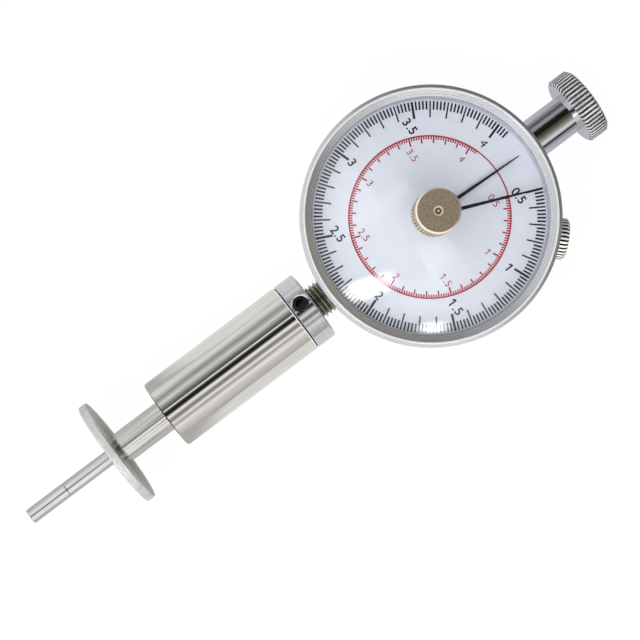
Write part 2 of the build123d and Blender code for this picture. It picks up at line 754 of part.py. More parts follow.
pillar_screw_shank = TOP_PLATE_THICKNESS - SCREW_HEAD_HEIGHT + pillar_screw_grip
pillar_screw = slotted_screw(top_plate_top, -1, pillar_screw_shank)
with BuildPart() as top_plate_screws:
    with GridLocations(PILLAR_SPACING, PILLAR_SPACING, 2, 2):
        add(pillar_screw)

# Cock that reaches over the rod and carries the foot of the centre arbor
with BuildPart() as centre_cock:
    with BuildSketch(Plane.XZ):
        with BuildLine():
            Polyline(
                (-COCK_REACH, cock_bottom),
                (COCK_FOOT_NEAR, cock_bottom),
                (COCK_FOOT_NEAR, lower_plate_top),
                (COCK_FOOT_FAR, lower_plate_top),
                (COCK_FOOT_FAR, cock_top),
                (-COCK_REACH, cock_top),
                close=True,
            )
        make_face()
    extrude(amount=COCK_WIDTH / 2, both=True)
    with BuildSketch(Plane.XY.offset(cock_top)):
        Circle(pivot_hole)
        with Locations(*cock_screw_places):
            Circle(screw_hole)
    extrude(amount=-cock_top, mode=Mode.SUBTRACT)

cock_screw = slotted_screw(cock_top + SCREW_HEAD_HEIGHT, -1, cock_top - ledge_top)
with BuildPart() as cock_screws:
    with Locations(*cock_screw_places):
        add(cock_screw)

# Drive arbor with the pinion in the rack, and the wheel on it
drive_axis = Axis((-drive_place, 0, 0), (0, 0, 1))
with BuildPart() as rack_pinion:
    revolve(
        half_section(
            Plane(origin=(-drive_place, 0, 0), x_dir=(1, 0, 0), z_dir=(0, -1, 0)),
            (0, ledge_top + PLATE_MARGIN),
            (pivot_radius, ledge_top + PLATE_MARGIN),
            (pivot_radius, lower_plate_top + RUNNING_FIT),
            (arbor_radius, lower_plate_top + RUNNING_FIT),
            (arbor_radius, top_plate_bottom - RUNNING_FIT),
            (pivot_radius, top_plate_bottom - RUNNING_FIT),
            (pivot_radius, top_plate_top),
            (0, top_plate_top),
        ),
        axis=drive_axis,
    )
    pinion_plane = Plane(origin=(-drive_place, 0, AXIS_HEIGHT))
    extrude(
        gear_outline(pinion_plane, RACK_PINION_TEETH, 180 / RACK_PINION_TEETH),
        amount=RACK_PINION_WIDTH / 2,
        both=True,
    )

wheel_bottom = (pinion_bottom + pinion_top - WHEEL_THICKNESS) / 2
with BuildPart() as drive_wheel:
    wheel_plane = Plane(origin=(-drive_place, 0, wheel_bottom))
    extrude(gear_outline(wheel_plane, DRIVE_WHEEL_TEETH, 0), amount=WHEEL_THICKNESS)
    with BuildSketch(wheel_plane):
        Circle(arbor_radius + SCREW_FIT)
    extrude(amount=WHEEL_THICKNESS, mode=Mode.SUBTRACT)

# Centre arbor with its pinion, and the short pointer on top
driving_bottom = dial_top + DRIVING_CLEARANCE
driving_top = driving_bottom + DRIVING_BOSS_HEIGHT
pointer_seat = POINTER_SEAT_DIAMETER / 2
with BuildPart() as centre_arbor:
    revolve(
        half_section(
            Plane.XZ,
            (0, cock_bottom + RUNNING_FIT),
            (pivot_radius, cock_bottom + RUNNING_FIT),
            (pivot_radius, cock_top + RUNNING_FIT),
            (arbor_radius, cock_top + RUNNING_FIT),
            (arbor_radius, driving_bottom),
            (pointer_seat, driving_bottom),
            (pointer_seat, driving_top),
            (0, driving_top),
        )
    )
    extrude(
        gear_outline(Plane.XY.offset(pinion_bottom), CENTRE_PINION_TEETH, 180 + 180 / CENTRE_PINION_TEETH),
        amount=PINION_WIDTH,
    )

with BuildPart() as driving_pointer:
    with BuildSketch(Plane.XY.offset(driving_bottom)):
        Circle(DRIVING_BOSS_DIAMETER / 2)
    extrude(amount=DRIVING_BOSS_HEIGHT)
    extrude(
        needle_outline(pointer_plane(ZERO_ANGLE, driving_bottom), driving_length, DRIVING_WIDTH),
        amount=POINTER_THICKNESS,
    )
    with BuildSketch(pointer_plane(ZERO_ANGLE, driving_bottom)):
        with Locations((0, DOG_PLACE)):
            Circle(DOG_DIAMETER / 2)
    extrude(amount=POINTER_THICKNESS + DOG_HEIGHT)
    with BuildSketch(Plane.XY.offset(driving_bottom)):
        Circle(pointer_seat + SCREW_FIT)
    extrude(amount=DRIVING_BOSS_HEIGHT, mode=Mode.SUBTRACT)

# Hairspring with its collet on the arbor and its stud under the top plate
collet_radius = COLLET_DIAMETER / 2
spiral_start = collet_radius + SCREW_FIT + HAIRSPRING_RIBBON / 2
spiral_ends = [
    (-1) ** half_turn * (spiral_start + half_turn * HAIRSPRING_PITCH / 2)
    for half_turn in range(HAIRSPRING_HALF_TURNS + 1)
]
stud_place = spiral_ends[-1] + HAIRSPRING_RIBBON / 2 + STUD_DIAMETER / 2 + SCREW_FIT
with BuildPart() as hairspring_collet:
    with BuildSketch(Plane.XY.offset(hairspring_bottom)):
        Circle(collet_radius)
        Circle(arbor_radius + SCREW_FIT, mode=Mode.SUBTRACT)
    extrude(amount=HAIRSPRING_HEIGHT)

with BuildPart() as hairspring:
    with BuildSketch(Plane.XY.offset(hairspring_bottom)):
        for half_turn in range(HAIRSPRING_HALF_TURNS):
            near, far = spiral_ends[half_turn], spiral_ends[half_turn + 1]
            with BuildLine():
                ThreePointArc((near, 0), ((near + far) / 2, (near - far) / 2), (far, 0))
        trace(line_width=HAIRSPRING_RIBBON)
    extrude(amount=HAIRSPRING_HEIGHT)

with BuildPart() as hairspring_stud:
    with BuildSketch(Plane.XY.offset(hairspring_bottom)):
        with Locations((stud_place, 0)):
            Circle(STUD_DIAMETER / 2)
    extrude(amount=top_plate_bottom - hairspring_bottom)

# Dial plate and the ring that spaces it from the crystal
with BuildPart() as dial_plate:
    with BuildSketch(Plane.XY.offset(dial_bottom)):
        Circle(dial_radius)
        Circle(DIAL_HOLE / 2, mode=Mode.SUBTRACT)
    extrude(amount=DIAL_THICKNESS)

with BuildPart() as dial_spacer:
    with BuildSketch(Plane.XY.offset(dial_top)):
        Circle(dial_radius)
        Circle(spacer_inside, mode=Mode.SUBTRACT)
    extrude(amount=SPACER_HEIGHT)

# Crystal: a shallow dome on a flat rim, with a hole for the spindle's bush
dome_radius = (lip_radius**2 + DOME_HEIGHT**2) / (2 * DOME_HEIGHT)
crystal_hole = CRYSTAL_BUSH_DIAMETER / 2 + SCREW_FIT


def dome_level(radius):
    """Height of the crystal's outside at a radius from its centre."""
    return rim_top + DOME_HEIGHT - dome_radius + sqrt(dome_radius**2 - radius**2)


def dome_point(radius, depth):
    return (radius, dome_level(radius) - depth)


with BuildPart() as crystal:
    with BuildSketch(Plane.XZ):
        with BuildLine():
            Polyline(
                (lip_radius, spacer_top),
                (dial_radius, spacer_top),
                (dial_radius, rim_top),
                (lip_radius, rim_top),
            )
            ThreePointArc((lip_radius, rim_top), dome_point(lip_radius / 2, 0), dome_point(crystal_hole, 0))
            Line(dome_point(crystal_hole, 0), dome_point(crystal_hole, CRYSTAL_THICKNESS))
            ThreePointArc(
                dome_point(crystal_hole, CRYSTAL_THICKNESS),
                dome_point(lip_radius / 2, CRYSTAL_THICKNESS),
                (lip_radius, spacer_top),
            )
        make_face()
    revolve()

# Bezel: bevelled lip over the crystal, rounded front edge and a skirt that turns on the case
groove_half = snap_ring_half + FREE_GAP
snap_ring_outside = snap_ring_inside + SNAP_RING_WIDTH
groove_radius = snap_ring_outside + FREE_GAP
edge_step = BEZEL_EDGE * (1 - sqrt(0.5))
with BuildPart() as bezel:
    revolve(
        half_section(
            Plane.XZ,
            (lip_radius, rim_top),
            (bezel_bore, rim_top),
            (bezel_bore, snap_ring_middle + groove_half),
            (groove_radius, snap_ring_middle + groove_half),
            (groove_radius, snap_ring_middle - groove_half),
            (bezel_bore, snap_ring_middle - groove_half),
            (bezel_bore, skirt_bottom),
            (skirt_radius, skirt_bottom),
            (skirt_radius, bezel_rim_bottom),
            (bezel_radius, bezel_rim_bottom),
            (bezel_radius, crest_top - BEZEL_EDGE),
            (bezel_radius - edge_step, crest_top - edge_step),
            (bezel_radius - BEZEL_EDGE, crest_top),
            (lip_radius + LIP_BEVEL, crest_top),
            (lip_radius, rim_top + LIP_LAND),
        )
    )

with BuildPart() as bezel_snap_ring:
    revolve(
        half_section(
            Plane.XZ,
            (snap_ring_inside, snap_ring_middle - snap_ring_half),
            (snap_ring_outside, snap_ring_middle - snap_ring_half),
            (snap_ring_outside, snap_ring_middle + snap_ring_half),
            (snap_ring_inside, snap_ring_middle + snap_ring_half),
        ),
        revolution_arc=360 - SNAP_RING_GAP,
    )

# Bush in the crystal, and the spindle that runs in it
spindle_radius = SPINDLE_DIAMETER / 2
bush_flange_radius = CRYSTAL_BUSH_FLANGE / 2
crystal_bush_radius = CRYSTAL_BUSH_DIAMETER / 2
crystal_outside = dome_level(crystal_hole)
crystal_inside = crystal_outside - CRYSTAL_THICKNESS
crystal_bush_top = dome_level(0) + CRYSTAL_BUSH_FLANGE_THICKNESS
with BuildPart() as crystal_bush:
    revolve(
        half_section(
            Plane.XZ,
            (spindle_radius + RUNNING_FIT, crystal_inside - CRYSTAL_BUSH_FLANGE_THICKNESS),
            (bush_flange_radius, crystal_inside - CRYSTAL_BUSH_FLANGE_THICKNESS),
            (bush_flange_radius, dome_level(bush_flange_radius) - CRYSTAL_THICKNESS),
            (crystal_bush_radius, crystal_inside),
            (crystal_bush_radius, dome_level(0)),
            (bush_flange_radius, dome_level(0)),
            (bush_flange_radius, crystal_bush_top),
            (spindle_radius + RUNNING_FIT, crystal_bush_top),
        )
    )

washer_bottom = crystal_bush_top + RUNNING_FIT
knob_bottom = washer_bottom + WASHER_THICKNESS
knob_top = knob_bottom + RESET_KNOB_HEIGHT
reset_screw_radius = RESET_SCREW_DIAMETER / 2
reset_head_top = knob_top - RESET_SCREW_SUNK
reset_head_bottom = reset_head_top - SCREW_HEAD_HEIGHT
peak_bottom = dial_top + PEAK_ROOT_CLEARANCE
peak_boss_bottom = peak_bottom - FREE_GAP
screw_shank_radius = RESET_SCREW_SHANK / 2
with BuildPart() as peak_spindle:
    revolve(
        half_section(
            Plane.XZ,
            (0, peak_boss_bottom),
            (spindle_radius, peak_boss_bottom),
            (spindle_radius, reset_head_bottom),
            (screw_shank_radius + SCREW_FIT, reset_head_bottom),
            (screw_shank_radius + SCREW_FIT, reset_head_bottom - RESET_SCREW_LENGTH),
            (0, reset_head_bottom - RESET_SCREW_LENGTH),
        )
    )

# Long pointer: a blade that falls from its boss to just above the dial's rim
peak_turn = radians(PEAK_ANGLE)
peak_side = Plane(
    origin=(0, 0, 0), x_dir=(sin(peak_turn), cos(peak_turn), 0), z_dir=(cos(peak_turn), -sin(peak_turn), 0)
)
peak_tip_bottom = dial_top + PEAK_TIP_CLEARANCE
with BuildPart() as peak_pointer:
    with BuildSketch(peak_side):
        with BuildLine():
            Polyline(
                (0, peak_bottom),
                (peak_length, peak_tip_bottom),
                (peak_length, peak_tip_bottom + POINTER_THICKNESS),
                (0, peak_bottom + POINTER_THICKNESS),
                close=True,
            )
        make_face()
    extrude(amount=PEAK_WIDTH, both=True)
    extrude(
        needle_outline(pointer_plane(PEAK_ANGLE, 0), peak_length, PEAK_WIDTH),
        amount=knob_top,
        mode=Mode.INTERSECT,
    )
    with BuildSketch(Plane.XY.offset(peak_boss_bottom)):
        Circle(PEAK_BOSS_DIAMETER / 2)
    extrude(amount=PEAK_BOSS_HEIGHT)
    with BuildSketch(Plane.XY.offset(peak_boss_bottom)):
        Circle(spindle_radius + SCREW_FIT)
    extrude(amount=PEAK_BOSS_HEIGHT, mode=Mode.SUBTRACT)

# Reset knob with its friction washer below and its screw on top
with BuildPart() as friction_washer:
    with BuildSketch(Plane.XY.offset(washer_bottom)):
        Circle(bush_flange_radius)
        Circle(spindle_radius + SCREW_FIT, mode=Mode.SUBTRACT)
    extrude(amount=WASHER_THICKNESS)

reset_knob_radius = RESET_KNOB_DIAMETER / 2
with BuildPart() as reset_knob:
    extrude(
        knurled_outline(Plane.XY.offset(knob_bottom), RESET_KNOB_DIAMETER, RESET_KNOB_RIDGE_COUNT),
        amount=RESET_KNOB_HEIGHT - RESET_KNOB_PLAIN,
    )
    with BuildSketch(Plane.XY.offset(knob_top)):
        Circle(reset_knob_radius)
    extrude(amount=-RESET_KNOB_PLAIN)
    chamfer(reset_knob.edges().group_by(Axis.Z)[-1], RESET_KNOB_BEVEL)
    with BuildSketch(Plane.XY.offset(knob_top)):
        Circle(reset_screw_radius + SCREW_FIT)
    extrude(amount=reset_head_bottom - knob_top, mode=Mode.SUBTRACT)
    with BuildSketch(Plane.XY.offset(knob_top)):
        Circle(spindle_radius + SCREW_FIT)
    extrude(amount=-RESET_KNOB_HEIGHT, mode=Mode.SUBTRACT)

with BuildPart() as reset_knob_screw:
    revolve(
        half_section(
            Plane.XZ,
            (0, reset_head_bottom - RESET_SCREW_LENGTH),
            (screw_shank_radius, reset_head_bottom - RESET_SCREW_LENGTH),
            (screw_shank_radius, reset_head_bottom),
            (reset_screw_radius, reset_head_bottom),
            (reset_screw_radius, reset_head_top),
            (screw_shank_radius, reset_head_top),
            (0, reset_head_top - SCREW_SLOT),
        )
    )

# Tube on top of the case, in which the rod's end travels, and the hand knob on it
stem_spigot_radius = STEM_SPIGOT_DIAMETER / 2
with BuildPart() as guide_tube:
    revolve(
        half_section(
            tool_plane,
            (boss_inside, rod_bore),
            (boss_inside, stem_thread_radius),
            (stem_seat, stem_thread_radius),
            (stem_seat, stem_radius),
            (knob_inner, stem_radius),
            (knob_inner, stem_spigot_radius),
            (stem_end, stem_spigot_radius),
            (stem_end, rod_bore),
        ),
        axis=tool_axis,
    )

push_knob_radius = PUSH_KNOB_DIAMETER / 2
with BuildPart() as push_knob:
    knob_plane = Plane(origin=(0, knob_inner, AXIS_HEIGHT), x_dir=(1, 0, 0), z_dir=(0, 1, 0))
    extrude(knurled_outline(knob_plane, PUSH_KNOB_DIAMETER, PUSH_KNOB_RIDGE_COUNT), amount=PUSH_KNOB_THICKNESS)
    revolve(
        half_section(
            tool_plane,
            (knob_inner, 0),
            (knob_inner, push_knob_radius - PUSH_KNOB_BEVEL),
            (knob_inner + PUSH_KNOB_BEVEL, push_knob_radius),
            (knob_outer - PUSH_KNOB_BEVEL, push_knob_radius),
            (knob_outer, push_knob_radius - PUSH_KNOB_BEVEL),
            (knob_outer, 0),
        ),
        axis=tool_axis,
        mode=Mode.INTERSECT,
    )
    with BuildSketch(knob_plane):
        Circle(stem_spigot_radius + SCREW_FIT)
    extrude(amount=STEM_SPIGOT, mode=Mode.SUBTRACT)

# Clamp for the bezel: a shoe that bears on case and skirt, and the knob screwed through it
shoe_inner = skirt_radius + RUNNING_FIT
shoe_outer = shoe_inner + CLAMP_SHOE_THICKNESS
shoe_foot = CASE_RADIUS + RUNNING_FIT
shoe_top = bezel_rim_bottom - FREE_GAP
clamp_knob_radius = CLAMP_KNOB_DIAMETER / 2
shoe_bottom = AXIS_HEIGHT - clamp_knob_radius
with BuildPart() as clamp_shoe:
    with BuildSketch(Plane(origin=(0, 0, 0), x_dir=clamp_way, z_dir=clamp_plane.z_dir)):
        with BuildLine():
            Polyline(
                (shoe_foot, shoe_bottom),
                (shoe_outer, shoe_bottom),
                (shoe_outer, shoe_top),
                (shoe_inner, shoe_top),
                (shoe_inner, shoe_bottom + CLAMP_SHOE_FOOT),
                (shoe_foot, shoe_bottom + CLAMP_SHOE_FOOT),
                close=True,
            )
        make_face()
    extrude(amount=CLAMP_SHOE_WIDTH / 2, both=True)
    with BuildSketch(Plane(origin=(0, 0, AXIS_HEIGHT), z_dir=clamp_way)):
        Circle(clamp_shank_radius + RUNNING_FIT)
    extrude(amount=2 * CASE_RADIUS, mode=Mode.SUBTRACT)

clamp_inner = shoe_outer + RUNNING_FIT
clamp_outer = clamp_inner + CLAMP_KNOB_THICKNESS
clamp_head_plane = Plane(
    origin=(clamp_inner * clamp_way[0], clamp_inner * clamp_way[1], AXIS_HEIGHT), z_dir=clamp_way
)
with BuildPart() as clamp_knob:
    extrude(
        knurled_outline(clamp_head_plane, CLAMP_KNOB_DIAMETER, CLAMP_KNOB_RIDGE_COUNT),
        amount=CLAMP_KNOB_THICKNESS,
    )
    revolve(
        half_section(
            clamp_plane,
            (clamp_inner, 0),
            (clamp_inner, clamp_knob_radius - EDGE_BREAK),
            (clamp_inner + EDGE_BREAK, clamp_knob_radius),
            (clamp_outer - CLAMP_KNOB_BEVEL, clamp_knob_radius),
            (clamp_outer, clamp_knob_radius - CLAMP_KNOB_BEVEL),
            (clamp_outer, 0),
        ),
        axis=clamp_axis,
        mode=Mode.INTERSECT,
    )
    revolve(
        half_section(
            clamp_plane,
            (case_inside, 0),
            (case_inside, clamp_shank_radius),
            (clamp_inner, clamp_shank_radius),
            (clamp_inner, 0),
        ),
        axis=clamp_axis,
    )

pieces = {
    "probe_tip": probe_tip,
    "flange": flange,
    "plunger_shaft": plunger_shaft,
    "spring_seat": spring_seat,
    "rack_rod": rack_rod,
    "guide_pin": guide_pin,
    "rack_guide": rack_guide,
    "barrel": barrel,
    "front_bush": front_bush,
    "main_spring": main_spring,
    "collar": collar,
    "collar_set_screw": collar_set_screw,
    "neck_bush": neck_bush,
    "case_ring": case_ring,
    "back_cover": back_cover,
    "back_cover_screws": back_cover_screws,
    "lower_plate": lower_plate,
    "lower_plate_screws": lower_plate_screws,
    "pillars": pillars,
    "top_plate": top_plate,
    "top_plate_screws": top_plate_screws,
    "centre_cock": centre_cock,
    "cock_screws": cock_screws,
    "rack_pinion": rack_pinion,
    "drive_wheel": drive_wheel,
    "centre_arbor": centre_arbor,
    "driving_pointer": driving_pointer,
    "hairspring_collet": hairspring_collet,
    "hairspring": hairspring,
    "hairspring_stud": hairspring_stud,
    "dial_plate": dial_plate,
    "dial_spacer": dial_spacer,
    "crystal": crystal,
    "bezel": bezel,
    "bezel_snap_ring": bezel_snap_ring,
    "crystal_bush": crystal_bush,
    "peak_spindle": peak_spindle,
    "peak_pointer": peak_pointer,
    "friction_washer": friction_washer,
    "reset_knob": reset_knob,
    "reset_knob_screw": reset_knob_screw,
    "guide_tube": guide_tube,
    "push_knob": push_knob,
    "clamp_shoe": clamp_shoe,
    "clamp_knob": clamp_knob,
}
os.makedirs("parts", exist_ok=True)
for name, piece in pieces.items():
    piece.part.label = name
    export_step(piece.part, f"parts/{name}.step")
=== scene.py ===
import json
from math import atan, atan2, cos, pi, radians, sin, sqrt

import bmesh
import bpy
from mathutils import Matrix, Vector


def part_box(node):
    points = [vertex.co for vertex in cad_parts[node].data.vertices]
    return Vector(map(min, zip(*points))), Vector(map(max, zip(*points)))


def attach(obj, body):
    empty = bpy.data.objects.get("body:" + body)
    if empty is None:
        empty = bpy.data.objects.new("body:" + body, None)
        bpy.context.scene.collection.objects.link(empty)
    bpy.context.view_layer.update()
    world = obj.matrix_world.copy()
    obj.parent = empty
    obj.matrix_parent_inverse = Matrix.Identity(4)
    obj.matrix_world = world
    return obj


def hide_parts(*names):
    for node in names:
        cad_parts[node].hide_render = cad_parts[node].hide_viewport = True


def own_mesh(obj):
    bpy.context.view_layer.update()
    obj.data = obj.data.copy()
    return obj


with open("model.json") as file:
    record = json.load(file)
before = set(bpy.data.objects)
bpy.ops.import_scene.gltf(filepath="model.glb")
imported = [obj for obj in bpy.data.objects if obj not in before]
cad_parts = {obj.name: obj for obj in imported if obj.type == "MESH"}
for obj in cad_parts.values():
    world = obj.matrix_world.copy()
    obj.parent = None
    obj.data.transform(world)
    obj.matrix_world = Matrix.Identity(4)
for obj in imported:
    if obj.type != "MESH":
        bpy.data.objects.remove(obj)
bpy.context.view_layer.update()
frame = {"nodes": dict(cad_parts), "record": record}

MM = 0.001
NODES = frame["nodes"]

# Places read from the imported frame, in metres
DIAL_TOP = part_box("dial_plate")[1].z
tip_low, tip_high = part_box("probe_tip")
AXIS_HEIGHT = (tip_low.z + tip_high.z) / 2
flange_low, flange_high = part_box("flange")
barrel_low, barrel_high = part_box("barrel")
spring_low, spring_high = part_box("main_spring")
neck_low, neck_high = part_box("neck_bush")
bezel_low, bezel_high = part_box("bezel")
reset_knob_low, reset_knob_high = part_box("reset_knob")
hand_knob_low, hand_knob_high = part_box("push_knob")
set_screw_low, set_screw_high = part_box("collar_set_screw")
set_screw_middle = (set_screw_low + set_screw_high) / 2
set_screw_way = Vector((set_screw_middle.x, 0, set_screw_middle.z - AXIS_HEIGHT)).normalized()

# Turned pieces are drawn about Z and then laid along the tool or along the clamp screw
CLAMP_TURN = radians(45)
TOOL = Matrix.Translation((0, 0, AXIS_HEIGHT)) @ Matrix.Rotation(-pi / 2, 4, "X")
CLAMP = Matrix.Rotation(-CLAMP_TURN, 4, "Z") @ TOOL

# Dial: turns are from the hand knob, clockwise as it is read, and values are in units of the scale
ZERO_TURN = radians(2.4)
SCALE_START = 0.5
SCALE_END = 4.06
SCALE_STEP = 0.02
START_TURN = radians(22.5)
TURN_PER_UNIT = radians(91.77)
BLACK_PER_RED = 0.980665

# Camera: where it stands, what it looks at and how long its lens is, found from the photograph
CAMERA_PLACE = Vector((-0.21, -48.0, 448.5)) * MM
CAMERA_TARGET = Vector((3.6, -32.23, 8.0)) * MM
CAMERA_UP = Vector((-0.7997, 0.6002, 0.0146))
FOCAL_PIXELS = 2000
IMAGE_PIXELS = 640
SENSOR_WIDTH = 36

# Surfaces: the noise of every grain, and the marks between which its dark tone passes into its light one
FINE_NOISE = {"Detail": 3.0, "Roughness": 0.6}
DARK_MARK = 0.3
LIGHT_MARK = 0.7
# How pointed a ridge is at its root and at its crest, between which the painted shade in its roots clears
ROOT_POINT = 0.485
CREST_POINT = 0.515
# How far up a wall, a bevel, the edge of a flat top and that top look, as the Z of their normals
# They place a painted highlight on bevels
WALL_UP = 0.3
BEVEL_UP = 0.6
TOP_EDGE_UP = 0.9
TOP_UP = 0.97
# Radius of the painted highlight on the bevel of the set screw's hole, and how far it fades, in millimetres
SET_SCREW_HIGHLIGHT_RADIUS = 2.0
HIGHLIGHT_FADE = 0.04
# How far a grain runs along X, Y and Z, in its own widths
EVEN = (1, 1, 1)
ALONG_TOOL = (1, 60, 1)
ROUND_TOOL = (60, 1, 60)
ACROSS_TOOL = (6, 1, 6)
# Axes that turned rings lie about: the directions across the axis, and a point on it
ABOUT_DIAL = ((1, 1, 0), (0, 0, 0))
ABOUT_TOOL = ((1, 0, 1), (0, 0, AXIS_HEIGHT))


def linear(hex_colour):
    """sRGB hex to linear RGBA."""
    channels = [int(hex_colour[i : i + 2], 16) / 255 for i in (0, 2, 4)]
    return [c / 12.92 if c <= 0.04045 else ((c + 0.055) / 1.055) ** 2.4 for c in channels] + [1.0]


def add_node(tree, kind, links=None, stops=(), **settings):
    """Adds a node: settings are properties, links give an input its value or socket, stops fill a ramp."""
    node = tree.nodes.new(kind)
    for key, value in settings.items():
        setattr(node, key, value)
    for key, value in (links or {}).items():
        if isinstance(value, bpy.types.NodeSocket):
            tree.links.new(value, node.inputs[key])
        else:
            node.inputs[key].default_value = value
    for index, (place, colour) in enumerate(stops):
        # A new ramp has two stops already
        element = node.color_ramp.elements[index] if index < 2 else node.color_ramp.elements.new(place)
        element.position = place
        element.color = linear(colour)
    return node


def new_material(name):
    """An empty material and its node tree."""
    material = bpy.data.materials.new(name)
    material.use_nodes = True
    material.node_tree.nodes.clear()
    return material, material.node_tree


def finish_surface(tree, marks, colours, roughness, depth_mm, metallic, shade=None, gloss=0.5):
    """Shades a surface by a 0 to 1 pattern: two tones, two roughnesses and a shallow relief.

    A shade is a painted shade or highlight: a value, the range over which it clears and the colour below that
    range.
    """
    tones = list(zip((DARK_MARK, LIGHT_MARK), colours))
    tone = add_node(tree, "ShaderNodeValToRGB", {"Fac": marks}, stops=tones)
    if shade:
        value, low, high, colour = shade
        clear = add_node(tree, "ShaderNodeMapRange", {"Value": value, "From Min": low, "From Max": high})
        tone = add_node(
            tree,
            "ShaderNodeMixRGB",
            {"Fac": clear.outputs[0], "Color1": colour, "Color2": tone.outputs[0]},
        )
    smooth, dull = roughness
    rough = add_node(tree, "ShaderNodeMapRange", {"Value": marks, "To Min": smooth, "To Max": dull})
    relief = add_node(tree, "ShaderNodeBump", {"Height": marks, "Strength": 1.0, "Distance": depth_mm * MM})
    sockets = {
        "Base Color": tone.outputs[0],
        "Metallic": metallic,
        "Specular IOR Level": gloss,
        "Roughness": rough.outputs[0],
        "Normal": relief.outputs[0],
    }
    shader = add_node(tree, "ShaderNodeBsdfPrincipled", sockets)
    add_node(tree, "ShaderNodeOutputMaterial", {"Surface": shader.outputs[0]})


def grained(
    name,
    colours,
    roughness,
    grain_mm,
    run=EVEN,
    depth_mm=0.0,
    metallic=1.0,
    root_shade=None,
    sides=None,
    bore_highlight=None,
    gloss=0.5,
):
    """Surface with a grain of grain_mm that runs the given times as far along X, Y and Z.

    Root shade is painted shade at the bottom of ridges, and sides the colour of upright walls and the painted
    highlight on bevels. Bore highlight is a point on a hole's axis, the way of that axis, and the radius in
    millimetres and colour of a painted highlight on the hole's bevel.
    """
    material, tree = new_material(name)
    place = add_node(tree, "ShaderNodeTexCoord")
    scale = [1 / (grain_mm * MM * times) for times in run]
    drawn = add_node(tree, "ShaderNodeMapping", {"Vector": place.outputs["Object"], "Scale": scale})
    marks = add_node(tree, "ShaderNodeTexNoise", {"Vector": drawn.outputs[0], "Scale": 1.0, **FINE_NOISE})
    form = add_node(tree, "ShaderNodeNewGeometry")
    shade = None
    # Painted shade: darker where a ridge is least pointed, at its roots
    if root_shade:
        shade = (form.outputs["Pointiness"], ROOT_POINT, CREST_POINT, linear(root_shade))
    # Colour by the way a face looks: the wall's tone, and a painted highlight on bevels
    if sides:
        up = add_node(tree, "ShaderNodeSeparateXYZ", {0: form.outputs["Normal"]}).outputs["Z"]
        edges = list(zip((WALL_UP, BEVEL_UP), sides))
        edge = add_node(tree, "ShaderNodeValToRGB", {"Fac": up}, stops=edges)
        shade = (up, TOP_EDGE_UP, TOP_UP, edge.outputs[0])
    # Painted highlight: the colour within a radius of a hole's axis
    if bore_highlight:
        point, axis, radius_mm, colour = bore_highlight
        offset = add_node(
            tree, "ShaderNodeVectorMath", {0: place.outputs["Object"], 1: point}, operation="SUBTRACT"
        )
        across = add_node(
            tree, "ShaderNodeVectorMath", {0: offset.outputs[0], 1: axis}, operation="CROSS_PRODUCT"
        )
        radius = add_node(tree, "ShaderNodeVectorMath", {0: across.outputs[0]}, operation="LENGTH")
        shade = (radius.outputs["Value"], (radius_mm - HIGHLIGHT_FADE) * MM, radius_mm * MM, linear(colour))
    finish_surface(tree, marks.outputs["Fac"], colours, roughness, depth_mm, metallic, shade, gloss)
    return material


def faced(name, colours, roughness, grain_mm, about, depth_mm, middle=None, metallic=1.0):
    """Metal faced on a lathe: rings grain_mm wide about an axis.

    Middle is a range of radius in millimetres, over which a painted shade round the axis clears, and its
    colour.
    """
    across_axis, centre = about
    material, tree = new_material(name)
    place = add_node(tree, "ShaderNodeTexCoord")
    from_axis = add_node(
        tree, "ShaderNodeVectorMath", {0: place.outputs["Object"], 1: centre}, operation="SUBTRACT"
    )
    across = add_node(
        tree, "ShaderNodeVectorMath", {0: from_axis.outputs[0], 1: across_axis}, operation="MULTIPLY"
    )
    radius = add_node(tree, "ShaderNodeVectorMath", {0: across.outputs[0]}, operation="LENGTH")
    marks = add_node(
        tree,
        "ShaderNodeTexNoise",
        {"W": radius.outputs["Value"], "Scale": 1 / (grain_mm * MM), **FINE_NOISE},
        noise_dimensions="1D",
    )
    shade = None
    if middle:
        low_mm, high_mm, colour = middle
        shade = (radius.outputs["Value"], low_mm * MM, high_mm * MM, linear(colour))
    finish_surface(tree, marks.outputs["Fac"], colours, roughness, depth_mm, metallic, shade)
    return material


def clear_acrylic(name):
    """Clear sheet that light from the lamps passes straight through."""
    material, tree = new_material(name)
    shader = add_node(
        tree,
        "ShaderNodeBsdfPrincipled",
        {
            "Base Color": linear("FAFCFD"),
            "Roughness": 0.0,
            "IOR": 1.49,
            "Specular IOR Level": 0.16,
            "Transmission Weight": 1.0,
        },
    )
    through = add_node(tree, "ShaderNodeBsdfTransparent", {"Color": linear("F4F7F9")})
    path = add_node(tree, "ShaderNodeLightPath")
    mix = add_node(
        tree,
        "ShaderNodeMixShader",
        {0: path.outputs["Is Shadow Ray"], 1: shader.outputs[0], 2: through.outputs[0]},
    )
    add_node(tree, "ShaderNodeOutputMaterial", {"Surface": mix.outputs[0]})
    return material


